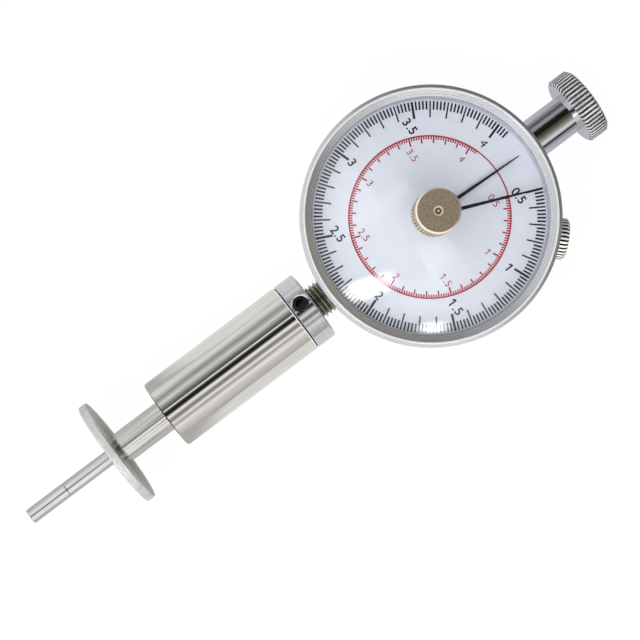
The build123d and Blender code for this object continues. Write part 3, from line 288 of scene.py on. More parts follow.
# Finishes of the slots, with marks of drawing, turning and blasting drawn as coarse as they need to show
MATERIALS = {
    # Hardened steel, ground and polished: mirror-like with faint lines along the pin
    "polished_steel": grained(
        "steel_polished", ("D8D7D7", "F4F3F3"), roughness=(0.05, 0.1), grain_mm=0.14, run=ALONG_TOOL
    ),
    # Stainless steel, drawn: a little warmer and softer, with fine lines along the shaft
    "ground_steel": grained(
        "steel_drawn", ("DCDBD6", "F8F7F2"), roughness=(0.06, 0.12), grain_mm=0.14, run=ALONG_TOOL
    ),
    # Nickel plate over ground brass: crisp streaks of the room along the barrel
    "satin_nickel": grained(
        "nickel_ground", ("D0CECA", "F4F2EE"), roughness=(0.025, 0.055),
        grain_mm=0.16, run=ALONG_TOOL, depth_mm=0.0002,
    ),
    # Nickel plate over a turned ring: a little softer, with a painted highlight on the bevel of the set
    # screw's hole
    "satin_collar": grained(
        "nickel_turned", ("C4C6CA", "DEE0E4"), roughness=(0.07, 0.13),
        grain_mm=0.15, run=ROUND_TOOL, depth_mm=0.0006,
        bore_highlight=(set_screw_middle, set_screw_way, SET_SCREW_HIGHLIGHT_RADIUS, "FFFFFF"),
    ),
    # Oiled steel thread: dark olive grey with light crests, and painted shade in the roots
    "neck_steel": grained(
        "steel_oiled", ("A6A494", "CCCABC"), roughness=(0.18, 0.3),
        grain_mm=0.3, depth_mm=0.001, root_shade="666456",
    ),
    # Black oxide on steel: near black, slightly waxy
    "black_screw": grained(
        "steel_black_oxide", ("2C2C2E", "424244"), roughness=(0.22, 0.34), grain_mm=0.25, depth_mm=0.001
    ),
    # Chrome plate: bright and sharp
    "chrome_plate": grained(
        "chrome_plate", ("D4D6D8", "DEE0E2"), roughness=(0.05, 0.09), grain_mm=1.2, depth_mm=0.0004
    ),
    # Stoved satin paint on the cast case: grey with a fine orange peel
    "case_paint": grained(
        "paint_satin_grey", ("8C8E8F", "979998"), roughness=(0.40, 0.52),
        grain_mm=0.7, depth_mm=0.006, metallic=0.0,
    ),
    # Aluminium, turned: pale rings about the middle of the cover
    "cover_aluminium": faced(
        "aluminium_turned", ("B4B6B8", "C8CACB"), roughness=(0.24, 0.38),
        grain_mm=0.25, about=ABOUT_DIAL, depth_mm=0.001,
    ),
    # Satin nickel on a turned ring: soft, even light grey with fine rings
    "bezel_satin": faced(
        "nickel_satin", ("C2C3C6", "D4D5D8"), roughness=(0.2, 0.32),
        grain_mm=0.18, about=ABOUT_DIAL, depth_mm=0.0008, metallic=0.8,
    ),
    # Matt enamel: pale, slightly blue white
    "dial_enamel": grained(
        "enamel_matt", ("E6E7F0", "EBECF4"), roughness=(0.5, 0.6), grain_mm=2.0, depth_mm=0.001, metallic=0.0
    ),
    # Satin paint on the ring round the dial: pale blue grey
    "spacer_grey": grained(
        "paint_grey_ring", ("BCBEC8", "C8CAD4"), roughness=(0.4, 0.5),
        grain_mm=0.8, depth_mm=0.002, metallic=0.0,
    ),
    # Moulded acrylic: clear, with sharp highlights
    "clear_acrylic": clear_acrylic("acrylic_moulded"),
    # Matt paint on stamped steel: black
    "pointer_black": grained(
        "paint_matt_black", ("08080A", "121215"), roughness=(0.4, 0.5),
        grain_mm=0.6, depth_mm=0.001, metallic=0.0,
    ),
    # Bronze, blasted on its face: brown grey speckles, a tan wall, and a painted highlight in cream on the
    # bevel
    "knob_bronze": grained(
        "bronze_blasted", ("8E7E6A", "BEAE98"), roughness=(0.34, 0.46),
        grain_mm=0.4, depth_mm=0.004, metallic=0.8, sides=("C8B596", "F8EEDA"),
    ),
    # Brass, turned: bright and pale
    "knob_screw_brass": faced(
        "brass_turned", ("EADFC4", "F8F0DC"), roughness=(0.26, 0.36),
        grain_mm=0.2, about=ABOUT_DIAL, depth_mm=0.0006, metallic=0.6,
    ),
    # Nickel over knurled brass: pale and warm
    "clamp_brass": grained(
        "nickel_on_brass", ("F6F4EA", "FFFDF4"), roughness=(0.2, 0.3),
        grain_mm=0.4, depth_mm=0.001, metallic=0.25,
    ),
    # Steel, milled: plain satin grey
    "shoe_steel": grained(
        "steel_milled", ("A6A8AA", "B8BABB"), roughness=(0.26, 0.36),
        grain_mm=0.3, run=ACROSS_TOOL, depth_mm=0.001,
    ),
    # Brass, satin: warm yellow
    "movement_brass": grained(
        "brass_satin", ("B08F4E", "C2A261"), roughness=(0.28, 0.4), grain_mm=0.5, depth_mm=0.002
    ),
    # Steel, bright drawn: plain grey with fine lines
    "bright_steel": grained(
        "steel_bright_drawn", ("ACADAE", "BEBFC0"), roughness=(0.18, 0.28),
        grain_mm=0.3, run=ALONG_TOOL, depth_mm=0.001,
    ),
    # Spring wire, drawn: dark grey
    "spring_steel": grained(
        "steel_spring_wire", ("6E7074", "85878A"), roughness=(0.25, 0.35), grain_mm=0.4, depth_mm=0.001
    ),
    # Vulcanised fibre: dark brown, dull
    "washer_fibre": grained(
        "fibre_vulcanised", ("2A221C", "352B24"), roughness=(0.7, 0.85),
        grain_mm=0.3, depth_mm=0.01, metallic=0.0,
    ),
}

# Chrome plate over a knurl: softer than on the stem, in bright and handled patches
KNURLED_CHROME = grained(
    "chrome_knurled", ("B4B2B0", "F2F2F6"), roughness=(0.2, 0.3), grain_mm=3.0, metallic=0.55
)
# Chrome in the grooves of that knurl, with painted shade: dark in some patches and grey in others
KNURL_GROOVE_SHADE = grained(
    "chrome_groove_shade", ("080808", "6A6866"), roughness=(0.4, 0.6), grain_mm=2.4, metallic=0.0, gloss=0.25
)
# Nickel on the bezel's top, with a painted highlight: a bright line
HIGHLIGHT_EDGE = grained(
    "nickel_painted_highlight", ("D6D6D8", "E2E2E4"), roughness=(0.16, 0.24),
    grain_mm=0.4, depth_mm=0.0004, metallic=0.3,
)
# Satin nickel on the bezel's slope, with painted shade: a little greyer
BEZEL_SLOPE_SHADE = faced(
    "nickel_satin_shaded", ("BEC0C4", "D0D2D6"), roughness=(0.2, 0.32),
    grain_mm=0.18, about=ABOUT_DIAL, depth_mm=0.0008, metallic=0.8,
)
# Oil and dust in a groove, together with painted shade: black, dull
GROOVE_GRIME_AND_SHADE = grained(
    "grime_and_painted_shade", ("040404", "0E0D0C"), roughness=(0.5, 0.7),
    grain_mm=0.3, depth_mm=0.002, metallic=0.0, gloss=0.12,
)
# Bronze in the grooves of the fine knurl, darker as painted shade
BRONZE_GROOVE_SHADE = grained(
    "bronze_groove_shade", ("96866C", "AC9A80"), roughness=(0.45, 0.6), grain_mm=0.4, depth_mm=0.002, metallic=0.5
)
# Brass in the groove of the small screw, with painted shade: brown and dull
BRASS_GROOVE_SHADE = grained(
    "brass_groove_shade", ("5E5034", "76663F"), roughness=(0.45, 0.6), grain_mm=0.4, depth_mm=0.002, metallic=0.5
)
# Steel turned to a satin face, with painted shade darkening it towards the shaft
FLANGE_FACE_SHADED = faced(
    "steel_turned_satin", ("BCBCB8", "D8D8D4"), roughness=(0.24, 0.38),
    grain_mm=0.3, about=ABOUT_TOOL, depth_mm=0.001, middle=(2.6, 12.6, "4A483C"), metallic=0.8,
)
# Steel at the flange's rim: paler, mottled by handling
FLANGE_RIM = grained(
    "steel_handled", ("CACAC8", "DEDEDC"), roughness=(0.3, 0.42), grain_mm=1.8, metallic=0.65
)
# Pad-printed inks: matt black, and a dark crimson
BLACK_INK = grained(
    "ink_black", ("06070A", "0E0F14"), roughness=(0.55, 0.65), grain_mm=0.8, depth_mm=0.0005, metallic=0.0
)
RED_INK = grained(
    "ink_crimson", ("AC001E", "BA0A2C"), roughness=(0.55, 0.65), grain_mm=0.8, depth_mm=0.0005, metallic=0.0
)

for subpart in frame["record"]["subparts"]:
    node = NODES[subpart["node"]]
    node.data.materials.clear()
    node.data.materials.append(MATERIALS[subpart["material_slot"]])

# Pieces: sizes are in millimetres
SHARP_ANGLE = radians(30)
MERGE_DISTANCE = 0.001
# How far up a level and a sloping face look at least, as the Z of their normals
LEVEL_UP = 0.95
SLOPE_UP = 0.5
# Each ridge of a knurl has eight corners, the last three of them in its groove
RIDGE_CORNERS = 8
GROOVE_CORNERS = {5, 6, 7}


def add_piece(name, builder, body, slot, replaced=(), materials=()):
    """Makes a piece from a bmesh, gives it its finish and lets it ride on a body."""
    mesh = bpy.data.meshes.new(name)
    for material in materials or [MATERIALS[slot]]:
        mesh.materials.append(material)
    builder.to_mesh(mesh)
    builder.free()
    mesh.shade_smooth()
    mesh.set_sharp_from_angle(angle=SHARP_ANGLE)
    piece = bpy.data.objects.new(name, mesh)
    bpy.context.scene.collection.objects.link(piece)
    piece.modifiers.new("weighted_normal", "WEIGHTED_NORMAL").keep_sharp = True
    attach(piece, body)
    if replaced:
        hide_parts(*replaced)
    return piece


def turned(outline, steps):
    """Turns a closed outline of (radius, height) in millimetres about Z."""
    builder = bmesh.new()
    verts = [builder.verts.new((radius * MM, 0, height * MM)) for radius, height in outline]
    edges = [builder.edges.new(ends) for ends in zip(verts, verts[1:] + verts[:1])]
    bmesh.ops.spin(
        builder, geom=verts + edges, cent=(0, 0, 0), axis=(0, 0, 1), angle=2 * pi, steps=steps, use_merge=True
    )
    bmesh.ops.remove_doubles(builder, verts=builder.verts, dist=MERGE_DISTANCE * MM)
    bmesh.ops.recalc_face_normals(builder, faces=builder.faces)
    return builder


def soften(builder, width_mm, segments, least_degrees=25):
    """Rounds every edge that is sharper than least_degrees."""
    sharp = [edge for edge in builder.edges if edge.calc_face_angle(0) > radians(least_degrees)]
    bmesh.ops.bevel(
        builder,
        geom=sharp,
        offset=width_mm * MM,
        affect="EDGES",
        segments=segments,
        profile=0.5,
        material=-1,
        clamp_overlap=True,
    )


def knurled(ridges, rings):
    """Extrudes a disc through rings of (height, crest radius, root radius) in millimetres.

    Faces in the grooves get the piece's second material.
    """
    builder = bmesh.new()
    corner_angle = 2 * pi / (RIDGE_CORNERS * ridges)

    def corner(vert):
        return round(atan2(vert.co.y, vert.co.x) / corner_angle) % RIDGE_CORNERS

    height, crest, root = rings[0]
    bmesh.ops.create_circle(
        builder,
        cap_ends=True,
        segments=RIDGE_CORNERS * ridges,
        radius=crest * MM,
        matrix=Matrix.Translation((0, 0, height * MM)),
    )
    cap = builder.faces[:]
    for step, (next_height, next_crest, next_root) in enumerate(rings[1:]):
        grown = bmesh.ops.extrude_face_region(builder, geom=cap)["geom"]
        if step:
            bmesh.ops.delete(builder, geom=cap, context="FACES_ONLY")
        cap = [item for item in grown if isinstance(item, bmesh.types.BMFace)]
        verts = [item for item in grown if isinstance(item, bmesh.types.BMVert)]
        bmesh.ops.translate(builder, vec=(0, 0, (next_height - height) * MM), verts=verts)
        grooves = [vert for vert in verts if corner(vert) in GROOVE_CORNERS]
        crests = [vert for vert in verts if corner(vert) not in GROOVE_CORNERS]
        bmesh.ops.scale(builder, vec=(next_root / root, next_root / root, 1), verts=grooves)
        bmesh.ops.scale(builder, vec=(next_crest / crest, next_crest / crest, 1), verts=crests)
        height, crest, root = next_height, next_crest, next_root
    ridged = {round(height, 2) for height, crest, root in rings if root < crest}
    for face in builder.faces:
        corners = {corner(vert) for vert in face.verts}
        on_ridges = any(round(vert.co.z / MM, 2) in ridged for vert in face.verts)
        if on_ridges and len(corners) == 2 and corners & GROOVE_CORNERS:
            face.material_index = 1
    bmesh.ops.recalc_face_normals(builder, faces=builder.faces)
    return builder


def placed(builder, place):
    """Lays a piece that was drawn about Z in its place."""
    bmesh.ops.transform(builder, matrix=place, verts=builder.verts)
    return builder


# Bezel: bevelled outside, with a narrow top, a long slope to the crystal and a snap ring's groove inside
BEZEL_RADIUS = bezel_high.x / MM
BEZEL_FOOT = bezel_low.z / MM
BEZEL_TOP = bezel_high.z / MM
BEZEL_BORE = 26.4
LIP_RADIUS = 25.75
LIP_UNDERSIDE = 18.8
SLOPE_FOOT = 19.45
SLOPE_TOP_RADIUS = 27.25
BEVEL_TOP_RADIUS = 27.6
BEVEL_FOOT = 19.75
SKIRT_RADIUS = 27.4
SKIRT_TOP = 15.1
SNAP_GROOVE_RADIUS = 26.8
SNAP_GROOVE_FOOT = 13.2
SNAP_GROOVE_TOP = 14.4
BEZEL_ROUNDING = 0.06
bezel = turned(
    [
        (LIP_RADIUS, LIP_UNDERSIDE),
        (BEZEL_BORE, LIP_UNDERSIDE),
        (BEZEL_BORE, SNAP_GROOVE_TOP),
        (SNAP_GROOVE_RADIUS, SNAP_GROOVE_TOP),
        (SNAP_GROOVE_RADIUS, SNAP_GROOVE_FOOT),
        (BEZEL_BORE, SNAP_GROOVE_FOOT),
        (BEZEL_BORE, BEZEL_FOOT),
        (SKIRT_RADIUS, BEZEL_FOOT),
        (SKIRT_RADIUS, SKIRT_TOP),
        (BEZEL_RADIUS, SKIRT_TOP),
        (BEZEL_RADIUS, BEVEL_FOOT),
        (BEVEL_TOP_RADIUS, BEZEL_TOP),
        (SLOPE_TOP_RADIUS, BEZEL_TOP),
        (LIP_RADIUS, SLOPE_FOOT),
    ],
    steps=240,
)
soften(bezel, BEZEL_ROUNDING, segments=3)
bezel_finishes = [MATERIALS["bezel_satin"], HIGHLIGHT_EDGE, BEZEL_SLOPE_SHADE]
# Painted highlight on the level top, and painted shade on the slope down to the crystal
for face in bezel.faces:
    inwards = -face.normal.xy.dot(face.calc_center_median().xy)
    if face.normal.z > LEVEL_UP:
        face.material_index = bezel_finishes.index(HIGHLIGHT_EDGE)
    elif face.normal.z > SLOPE_UP and inwards > 0:
        face.material_index = bezel_finishes.index(BEZEL_SLOPE_SHADE)
add_piece("bezel_ring", bezel, "bezel", "bezel_satin", ["bezel"], bezel_finishes)

# Crystal: a shallow dome that reaches under the bezel's lip, with a hole for the spindle's bush
DOME_RADIUS = 85.46
DOME_REACH = 26.1
DOME_HOLE = 2.2
DOME_THICKNESS = 1.05
crystal = bmesh.new()
dome_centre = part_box("crystal")[1].z - DOME_RADIUS * MM
bmesh.ops.create_uvsphere(
    crystal,
    u_segments=160,
    v_segments=240,
    radius=DOME_RADIUS * MM,
    matrix=Matrix.Translation((0, 0, dome_centre)),
)
bmesh.ops.bisect_plane(
    crystal,
    geom=crystal.verts[:] + crystal.edges[:] + crystal.faces[:],
    plane_co=(0, 0, dome_centre + sqrt(DOME_RADIUS**2 - DOME_REACH**2) * MM),
    plane_no=(0, 0, -1),
    clear_outer=True,
)
hole = [vert for vert in crystal.verts if vert.co.xy.length < DOME_HOLE * MM]
bmesh.ops.delete(crystal, geom=hole, context="VERTS")
bmesh.ops.recalc_face_normals(crystal, faces=crystal.faces)
bmesh.ops.solidify(crystal, geom=crystal.faces[:], thickness=DOME_THICKNESS * MM)
add_piece("crystal_dome", crystal, "bezel", "clear_acrylic", ["crystal"])

# Flange: a plain disc with rounded edges
FLANGE_RADIUS = 12.75
FLANGE_HOLE = 2.62
FLANGE_ROUNDING = 0.35
FLANGE_FRONT = flange_low.y / MM
FLANGE_BACK = flange_high.y / MM
flange = turned(
    [
        (FLANGE_HOLE, FLANGE_FRONT),
        (FLANGE_RADIUS, FLANGE_FRONT),
        (FLANGE_RADIUS, FLANGE_BACK),
        (FLANGE_HOLE, FLANGE_BACK),
    ],
    steps=200,
)
soften(flange, FLANGE_ROUNDING, segments=4)
flange_finishes = [FLANGE_FACE_SHADED, FLANGE_RIM]
for face in flange.faces:
    if face.normal.xy.length > abs(face.normal.z):
        face.material_index = flange_finishes.index(FLANGE_RIM)
add_piece("flange_disc", placed(flange, TOOL), "plunger", "ground_steel", ["flange"], flange_finishes)

# Barrel: a sleeve with a bored nose, and a painted highlight and a line of painted shade where it meets the
# collar
BARREL_RADIUS = 8.2
BARREL_BORE = 6.8
BARREL_BEVEL = 0.3
BARREL_NOSE = barrel_low.y / MM
BARREL_END = barrel_high.y / MM
NOSE_HOLE = 4.87
NOSE_INSIDE = BARREL_NOSE + 4.0
BRIGHT_LINE_START = BARREL_END - 0.36
DARK_LINE_START = BARREL_END - 0.1
DARK_LINE_RADIUS = 8.1
barrel = turned(
    [
        (NOSE_HOLE, BARREL_NOSE),
        (BARREL_RADIUS - BARREL_BEVEL, BARREL_NOSE),
        (BARREL_RADIUS, BARREL_NOSE + BARREL_BEVEL),
        (BARREL_RADIUS, BRIGHT_LINE_START),
        (DARK_LINE_RADIUS, DARK_LINE_START),
        (BARREL_RADIUS - BARREL_BEVEL, BARREL_END),
        (BARREL_BORE, BARREL_END),
        (BARREL_BORE, NOSE_INSIDE),
        (NOSE_HOLE, NOSE_INSIDE),
    ],
    steps=200,
)
barrel_finishes = [MATERIALS["satin_nickel"], HIGHLIGHT_EDGE, GROOVE_GRIME_AND_SHADE]
for face in barrel.faces:
    middle = face.calc_center_median() / MM
    if middle.xy.length > BARREL_RADIUS - BARREL_BEVEL and middle.z > BRIGHT_LINE_START:
        line = HIGHLIGHT_EDGE if middle.z < DARK_LINE_START else GROOVE_GRIME_AND_SHADE
        face.material_index = barrel_finishes.index(line)
add_piece("barrel_sleeve", placed(barrel, TOOL), "case", "satin_nickel", ["barrel"], barrel_finishes)

# Hand knob: straight knurl that runs out in both bevels, bored for the stem
HAND_KNOB_RIDGES = 52
HAND_KNOB_CREST = 8.0
HAND_KNOB_ROOT = 7.5
HAND_KNOB_FACE = 7.35
HAND_KNOB_BEVEL = 0.55
HAND_KNOB_FRONT = hand_knob_low.y / MM
HAND_KNOB_BACK = hand_knob_high.y / MM
STEM_BORE = 3.32
STEM_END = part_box("guide_tube")[1].y / MM
hand_knob = knurled(
    HAND_KNOB_RIDGES,
    [
        (STEM_END, STEM_BORE, STEM_BORE),
        (HAND_KNOB_FRONT, STEM_BORE, STEM_BORE),
        (HAND_KNOB_FRONT, HAND_KNOB_FACE, HAND_KNOB_FACE),
        (HAND_KNOB_FRONT + HAND_KNOB_BEVEL, HAND_KNOB_CREST, HAND_KNOB_ROOT),
        (HAND_KNOB_BACK - HAND_KNOB_BEVEL, HAND_KNOB_CREST, HAND_KNOB_ROOT),
        (HAND_KNOB_BACK, HAND_KNOB_FACE, HAND_KNOB_FACE),
    ],
)
hand_knob_finishes = [KNURLED_CHROME, KNURL_GROOVE_SHADE, MATERIALS["chrome_plate"]]
for face in hand_knob.faces:
    if abs(face.normal.z) > LEVEL_UP:
        face.material_index = hand_knob_finishes.index(MATERIALS["chrome_plate"])
add_piece(
    "push_knob_knurled", placed(hand_knob, TOOL), "case", "chrome_plate", ["push_knob"], hand_knob_finishes
)

# Reset knob: fine knurl below a plain bevelled head, sunk for its screw
RESET_RIDGES = 44
RESET_CREST = 4.8
RESET_ROOT = 4.5
RESET_FACE = 4.45
RESET_EDGE = 0.25
RESET_FOOT = reset_knob_low.z / MM
RESET_TOP = reset_knob_high.z / MM
RESET_NECK = 33.05
SPINDLE_BORE = 1.02
SPINDLE_TOP = 35.1
SCREW_SINK = 1.17
SCREW_SEAT = 35.2
reset_knob = knurled(
    RESET_RIDGES,
    [
        (SPINDLE_TOP, SPINDLE_BORE, SPINDLE_BORE),
        (RESET_FOOT, SPINDLE_BORE, SPINDLE_BORE),
        (RESET_FOOT, RESET_ROOT, RESET_ROOT),
        (RESET_FOOT + RESET_EDGE, RESET_CREST, RESET_ROOT),
        (RESET_NECK - RESET_EDGE, RESET_CREST, RESET_ROOT),
        (RESET_NECK, RESET_ROOT, RESET_ROOT),
        (RESET_NECK + RESET_EDGE, RESET_CREST, RESET_CREST),
        (RESET_TOP - RESET_EDGE, RESET_CREST, RESET_CREST),
        (RESET_TOP, RESET_FACE, RESET_FACE),
        (RESET_TOP, SCREW_SINK, SCREW_SINK),
        (SCREW_SEAT, SCREW_SINK, SCREW_SINK),
    ],
)
reset_knob_finishes = [MATERIALS["knob_bronze"], BRONZE_GROOVE_SHADE]
add_piece("reset_knob_knurled", reset_knob, "peak", "knob_bronze", ["reset_knob"], reset_knob_finishes)

# Its screw: a turned bead with a ring groove, on a plain shank
SHANK_RADIUS = 0.6
SHANK_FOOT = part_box("reset_knob_screw")[0].z / MM
BEAD_RADIUS = 1.14
BEAD_SHOULDER = 35.7
BEAD_TOP = 35.87
BEAD_TOP_OUTER = 1.0
BEAD_TOP_INNER = 0.8
GROOVE_OUTER = 0.66
GROOVE_OUTER_TOP = 35.65
GROOVE_INNER = 0.24
GROOVE_INNER_TOP = 35.66
GROOVE_FLOOR = 35.4
GROOVE_FLOOR_OUTER = 0.6
GROOVE_FLOOR_INNER = 0.3
reset_screw = turned(
    [
        (0, SHANK_FOOT),
        (SHANK_RADIUS, SHANK_FOOT),
        (SHANK_RADIUS, SCREW_SEAT),
        (BEAD_RADIUS, SCREW_SEAT),
        (BEAD_RADIUS, BEAD_SHOULDER),
        (BEAD_TOP_OUTER, BEAD_TOP),
        (BEAD_TOP_INNER, BEAD_TOP),
        (GROOVE_OUTER, GROOVE_OUTER_TOP),
        (GROOVE_FLOOR_OUTER, GROOVE_FLOOR),
        (GROOVE_FLOOR_INNER, GROOVE_FLOOR),
        (GROOVE_INNER, GROOVE_INNER_TOP),
        (0, BEAD_SHOULDER),
    ],
    steps=64,
)
reset_screw_finishes = [MATERIALS["knob_screw_brass"], BRASS_GROOVE_SHADE]
for face in reset_screw.faces:
    middle = face.calc_center_median() / MM
    if GROOVE_INNER < middle.xy.length < GROOVE_OUTER and middle.z > SCREW_SEAT:
        face.material_index = reset_screw_finishes.index(BRASS_GROOVE_SHADE)
add_piece(
    "reset_screw_turned", reset_screw, "peak", "knob_screw_brass", ["reset_knob_screw"], reset_screw_finishes
)

# Clamp knob on its screw: coarse knurl with a bevelled face, at heights out from the dial's centre
CLAMP_RIDGES = 32
CLAMP_CREST = 4.6
CLAMP_ROOT = 4.2
CLAMP_BACK = 28.1
CLAMP_FACE = 31.3
CLAMP_BACK_BEVEL = 0.3
CLAMP_FACE_BEVEL = 0.6
CLAMP_BACK_RADIUS = CLAMP_CREST - CLAMP_BACK_BEVEL
CLAMP_FACE_RADIUS = CLAMP_CREST - CLAMP_FACE_BEVEL
CLAMP_SCREW_RADIUS = 1.5
CLAMP_SCREW_END = 23.8
clamp_knob = knurled(
    CLAMP_RIDGES,
    [
        (CLAMP_SCREW_END, CLAMP_SCREW_RADIUS, CLAMP_SCREW_RADIUS),
        (CLAMP_BACK, CLAMP_SCREW_RADIUS, CLAMP_SCREW_RADIUS),
        (CLAMP_BACK, CLAMP_BACK_RADIUS, CLAMP_BACK_RADIUS),
        (CLAMP_BACK + CLAMP_BACK_BEVEL, CLAMP_CREST, CLAMP_ROOT),
        (CLAMP_FACE - CLAMP_FACE_BEVEL, CLAMP_CREST, CLAMP_ROOT),
        (CLAMP_FACE, CLAMP_FACE_RADIUS, CLAMP_FACE_RADIUS),
    ],
)
# The clamp knob's grooves get black grime and painted shade
clamp_finishes = [MATERIALS["clamp_brass"], GROOVE_GRIME_AND_SHADE]
add_piece(
    "clamp_knob_knurled", placed(clamp_knob, CLAMP), "clamp", "clamp_brass", ["clamp_knob"], clamp_finishes
)

# Neck: a rolled M8 thread, cut square at both ends and bored for the rack rod
THREAD_PITCH = 1.0
THREAD_STEPS = 48
THREAD_CREST = 4.0
THREAD_ROOT = 3.45
THREAD_MERGE = 0.01
ROD_BORE = 2.05
# Turns past the ends, which the cuts take off
SPARE_TURNS = 2
# Radius and height of the thread along one pitch
THREAD_FORM = [
    (THREAD_ROOT, 0.0),
    (THREAD_ROOT, 0.12),
    (THREAD_CREST, 0.42),
    (THREAD_CREST, 0.58),
    (THREAD_ROOT, 0.88),
    (THREAD_ROOT, THREAD_PITCH),
]
neck = bmesh.new()
neck_length = neck_high.y - neck_low.y
thread = [neck.verts.new((radius * MM, 0, (height - THREAD_PITCH) * MM)) for radius, height in THREAD_FORM]
thread_edges = [neck.edges.new(ends) for ends in zip(thread, thread[1:])]
turns = round(neck_length / MM / THREAD_PITCH) + SPARE_TURNS
bmesh.ops.spin(
    neck,
    geom=thread + thread_edges,
    cent=(0, 0, 0),
    axis=(0, 0, 1),
    dvec=(0, 0, THREAD_PITCH * MM / THREAD_STEPS),
    angle=2 * pi * turns,
    steps=THREAD_STEPS * turns,
)
bmesh.ops.remove_doubles(neck, verts=neck.verts, dist=THREAD_MERGE * MM)
for height, outwards in ((0, -1), (neck_length, 1)):
    bmesh.ops.bisect_plane(
        neck,
        geom=neck.verts[:] + neck.edges[:] + neck.faces[:],
        plane_co=(0, 0, height),
        plane_no=(0, 0, outwards),
        clear_outer=True,
    )
bmesh.ops.create_cone(
    neck,
    cap_ends=False,
    segments=THREAD_STEPS,
    radius1=ROD_BORE * MM,
    radius2=ROD_BORE * MM,
    depth=neck_length,
    matrix=Matrix.Translation((0, 0, neck_length / 2)),
)
for height in (0, neck_length):
    edges = [edge for edge in neck.edges if edge.is_boundary]
    rims = [edge for edge in edges if abs(edge.verts[0].co.z - height) < MERGE_DISTANCE * MM]
    bmesh.ops.bridge_loops(neck, edges=rims)
bmesh.ops.recalc_face_normals(neck, faces=neck.faces)
placed(neck, Matrix.Translation((0, neck_low.y, 0)) @ TOOL)
add_piece("neck_thread", neck, "case", "neck_steel", ["neck_bush"])

# Load spring: a round wire wound on the tool's axis, with a mesh of its own
# The real spring shortens towards the collar as the plunger goes in
WIRE_RADIUS = 0.35
WIRE_SIDES = 14
COIL_RADIUS = 5.0
COIL_TURNS = 8
COIL_STEPS = 48
spring_length = spring_high.y - spring_low.y
spring = bmesh.new()
wire_start = Matrix.Translation((COIL_RADIUS * MM, 0, spring_low.y + WIRE_RADIUS * MM))
bmesh.ops.create_circle(
    spring,
    cap_ends=False,
    segments=WIRE_SIDES,
    radius=WIRE_RADIUS * MM,
    matrix=wire_start @ Matrix.Rotation(pi / 2, 4, "X"),
)
bmesh.ops.spin(
    spring,
    geom=spring.verts[:] + spring.edges[:],
    cent=(0, 0, 0),
    axis=(0, 0, -1),
    dvec=(0, 0, (spring_length - 2 * WIRE_RADIUS * MM) / (COIL_TURNS * COIL_STEPS)),
    angle=2 * pi * COIL_TURNS,
    steps=COIL_TURNS * COIL_STEPS,
)
bmesh.ops.holes_fill(spring, edges=[edge for edge in spring.edges if edge.is_boundary])
bmesh.ops.recalc_face_normals(spring, faces=spring.faces)
load_spring = add_piece("load_spring_wire", placed(spring, TOOL), "case", "spring_steel", ["main_spring"])
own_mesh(load_spring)

# Printed scales: bars laid just above the enamel
INK_HEIGHT = 0.02
PRINT_TOP = DIAL_TOP + INK_HEIGHT * MM
LONGER_EVERY = 5
HEAVIER_EVERY = 25
BLACK_CIRCLE = 25.15
RED_CIRCLE = 17.58
RED_CIRCLE_WIDTH = 0.3
ZERO_TICK_INNER = 21.3
ZERO_TICK_OUTER = 23.4
ZERO_TICK_WIDTH = 0.26
# Radii of the inner ends, and widths, of plain, longer and heavier ticks
BLACK_TICK_ENDS = (23.25, 21.55, 21.45)
BLACK_TICK_WIDTHS = (0.39, 0.34, 0.52)
RED_TICK_ENDS = (16.8, 16.0, 15.7)
RED_TICK_WIDTHS = (0.32, 0.32, 0.36)


def add_tick(builder, turn, inner, outer, width):
    """A flat bar along a radius of the dial, in millimetres."""
    place = (
        Matrix.Rotation(-turn, 4, "Z")
        @ Matrix.Translation((0, (inner + outer) / 2 * MM, PRINT_TOP))
        @ Matrix.Diagonal((width / 2 * MM, (outer - inner) / 2 * MM, 1, 1))
    )
    bmesh.ops.create_grid(builder, x_segments=1, y_segments=1, size=1, matrix=place)


def scale_turn(value):
    """How far a value of the black scale is turned from the hand knob."""
    return START_TURN + (value - SCALE_START) * TURN_PER_UNIT


def add_scale(builder, outer, inners, widths, unit=1.0):
    """Ticks at every step of a scale, whose unit is given in units of the black one."""
    for count in range(round((SCALE_END - SCALE_START) / SCALE_STEP) + 1):
        rank = 2 if count % HEAVIER_EVERY == 0 else 1 if count % LONGER_EVERY == 0 else 0
        turn = scale_turn((SCALE_START + count * SCALE_STEP) * unit)
        add_tick(builder, turn, inners[rank], outer, widths[rank])


black_scale = bmesh.new()
add_scale(black_scale, BLACK_CIRCLE, BLACK_TICK_ENDS, BLACK_TICK_WIDTHS)
add_tick(black_scale, ZERO_TURN, ZERO_TICK_INNER, ZERO_TICK_OUTER, ZERO_TICK_WIDTH)
add_piece("black_scale", black_scale, "bezel", "dial_enamel", materials=[BLACK_INK])

red_scale = bmesh.new()
add_scale(red_scale, RED_CIRCLE, RED_TICK_ENDS, RED_TICK_WIDTHS, unit=BLACK_PER_RED)
circle_radii = (RED_CIRCLE - RED_CIRCLE_WIDTH / 2, RED_CIRCLE + RED_CIRCLE_WIDTH / 2)
circle_top = PRINT_TOP + INK_HEIGHT * MM
circle_ends = [red_scale.verts.new((0, radius * MM, circle_top)) for radius in circle_radii]
bmesh.ops.spin(
    red_scale,
    geom=circle_ends + [red_scale.edges.new(circle_ends)],
    cent=(0, 0, 0),
    axis=(0, 0, -1),
    angle=2 * pi,
    steps=180,
    use_merge=True,
)
add_piece("red_scale", red_scale, "bezel", "dial_enamel", materials=[RED_INK])

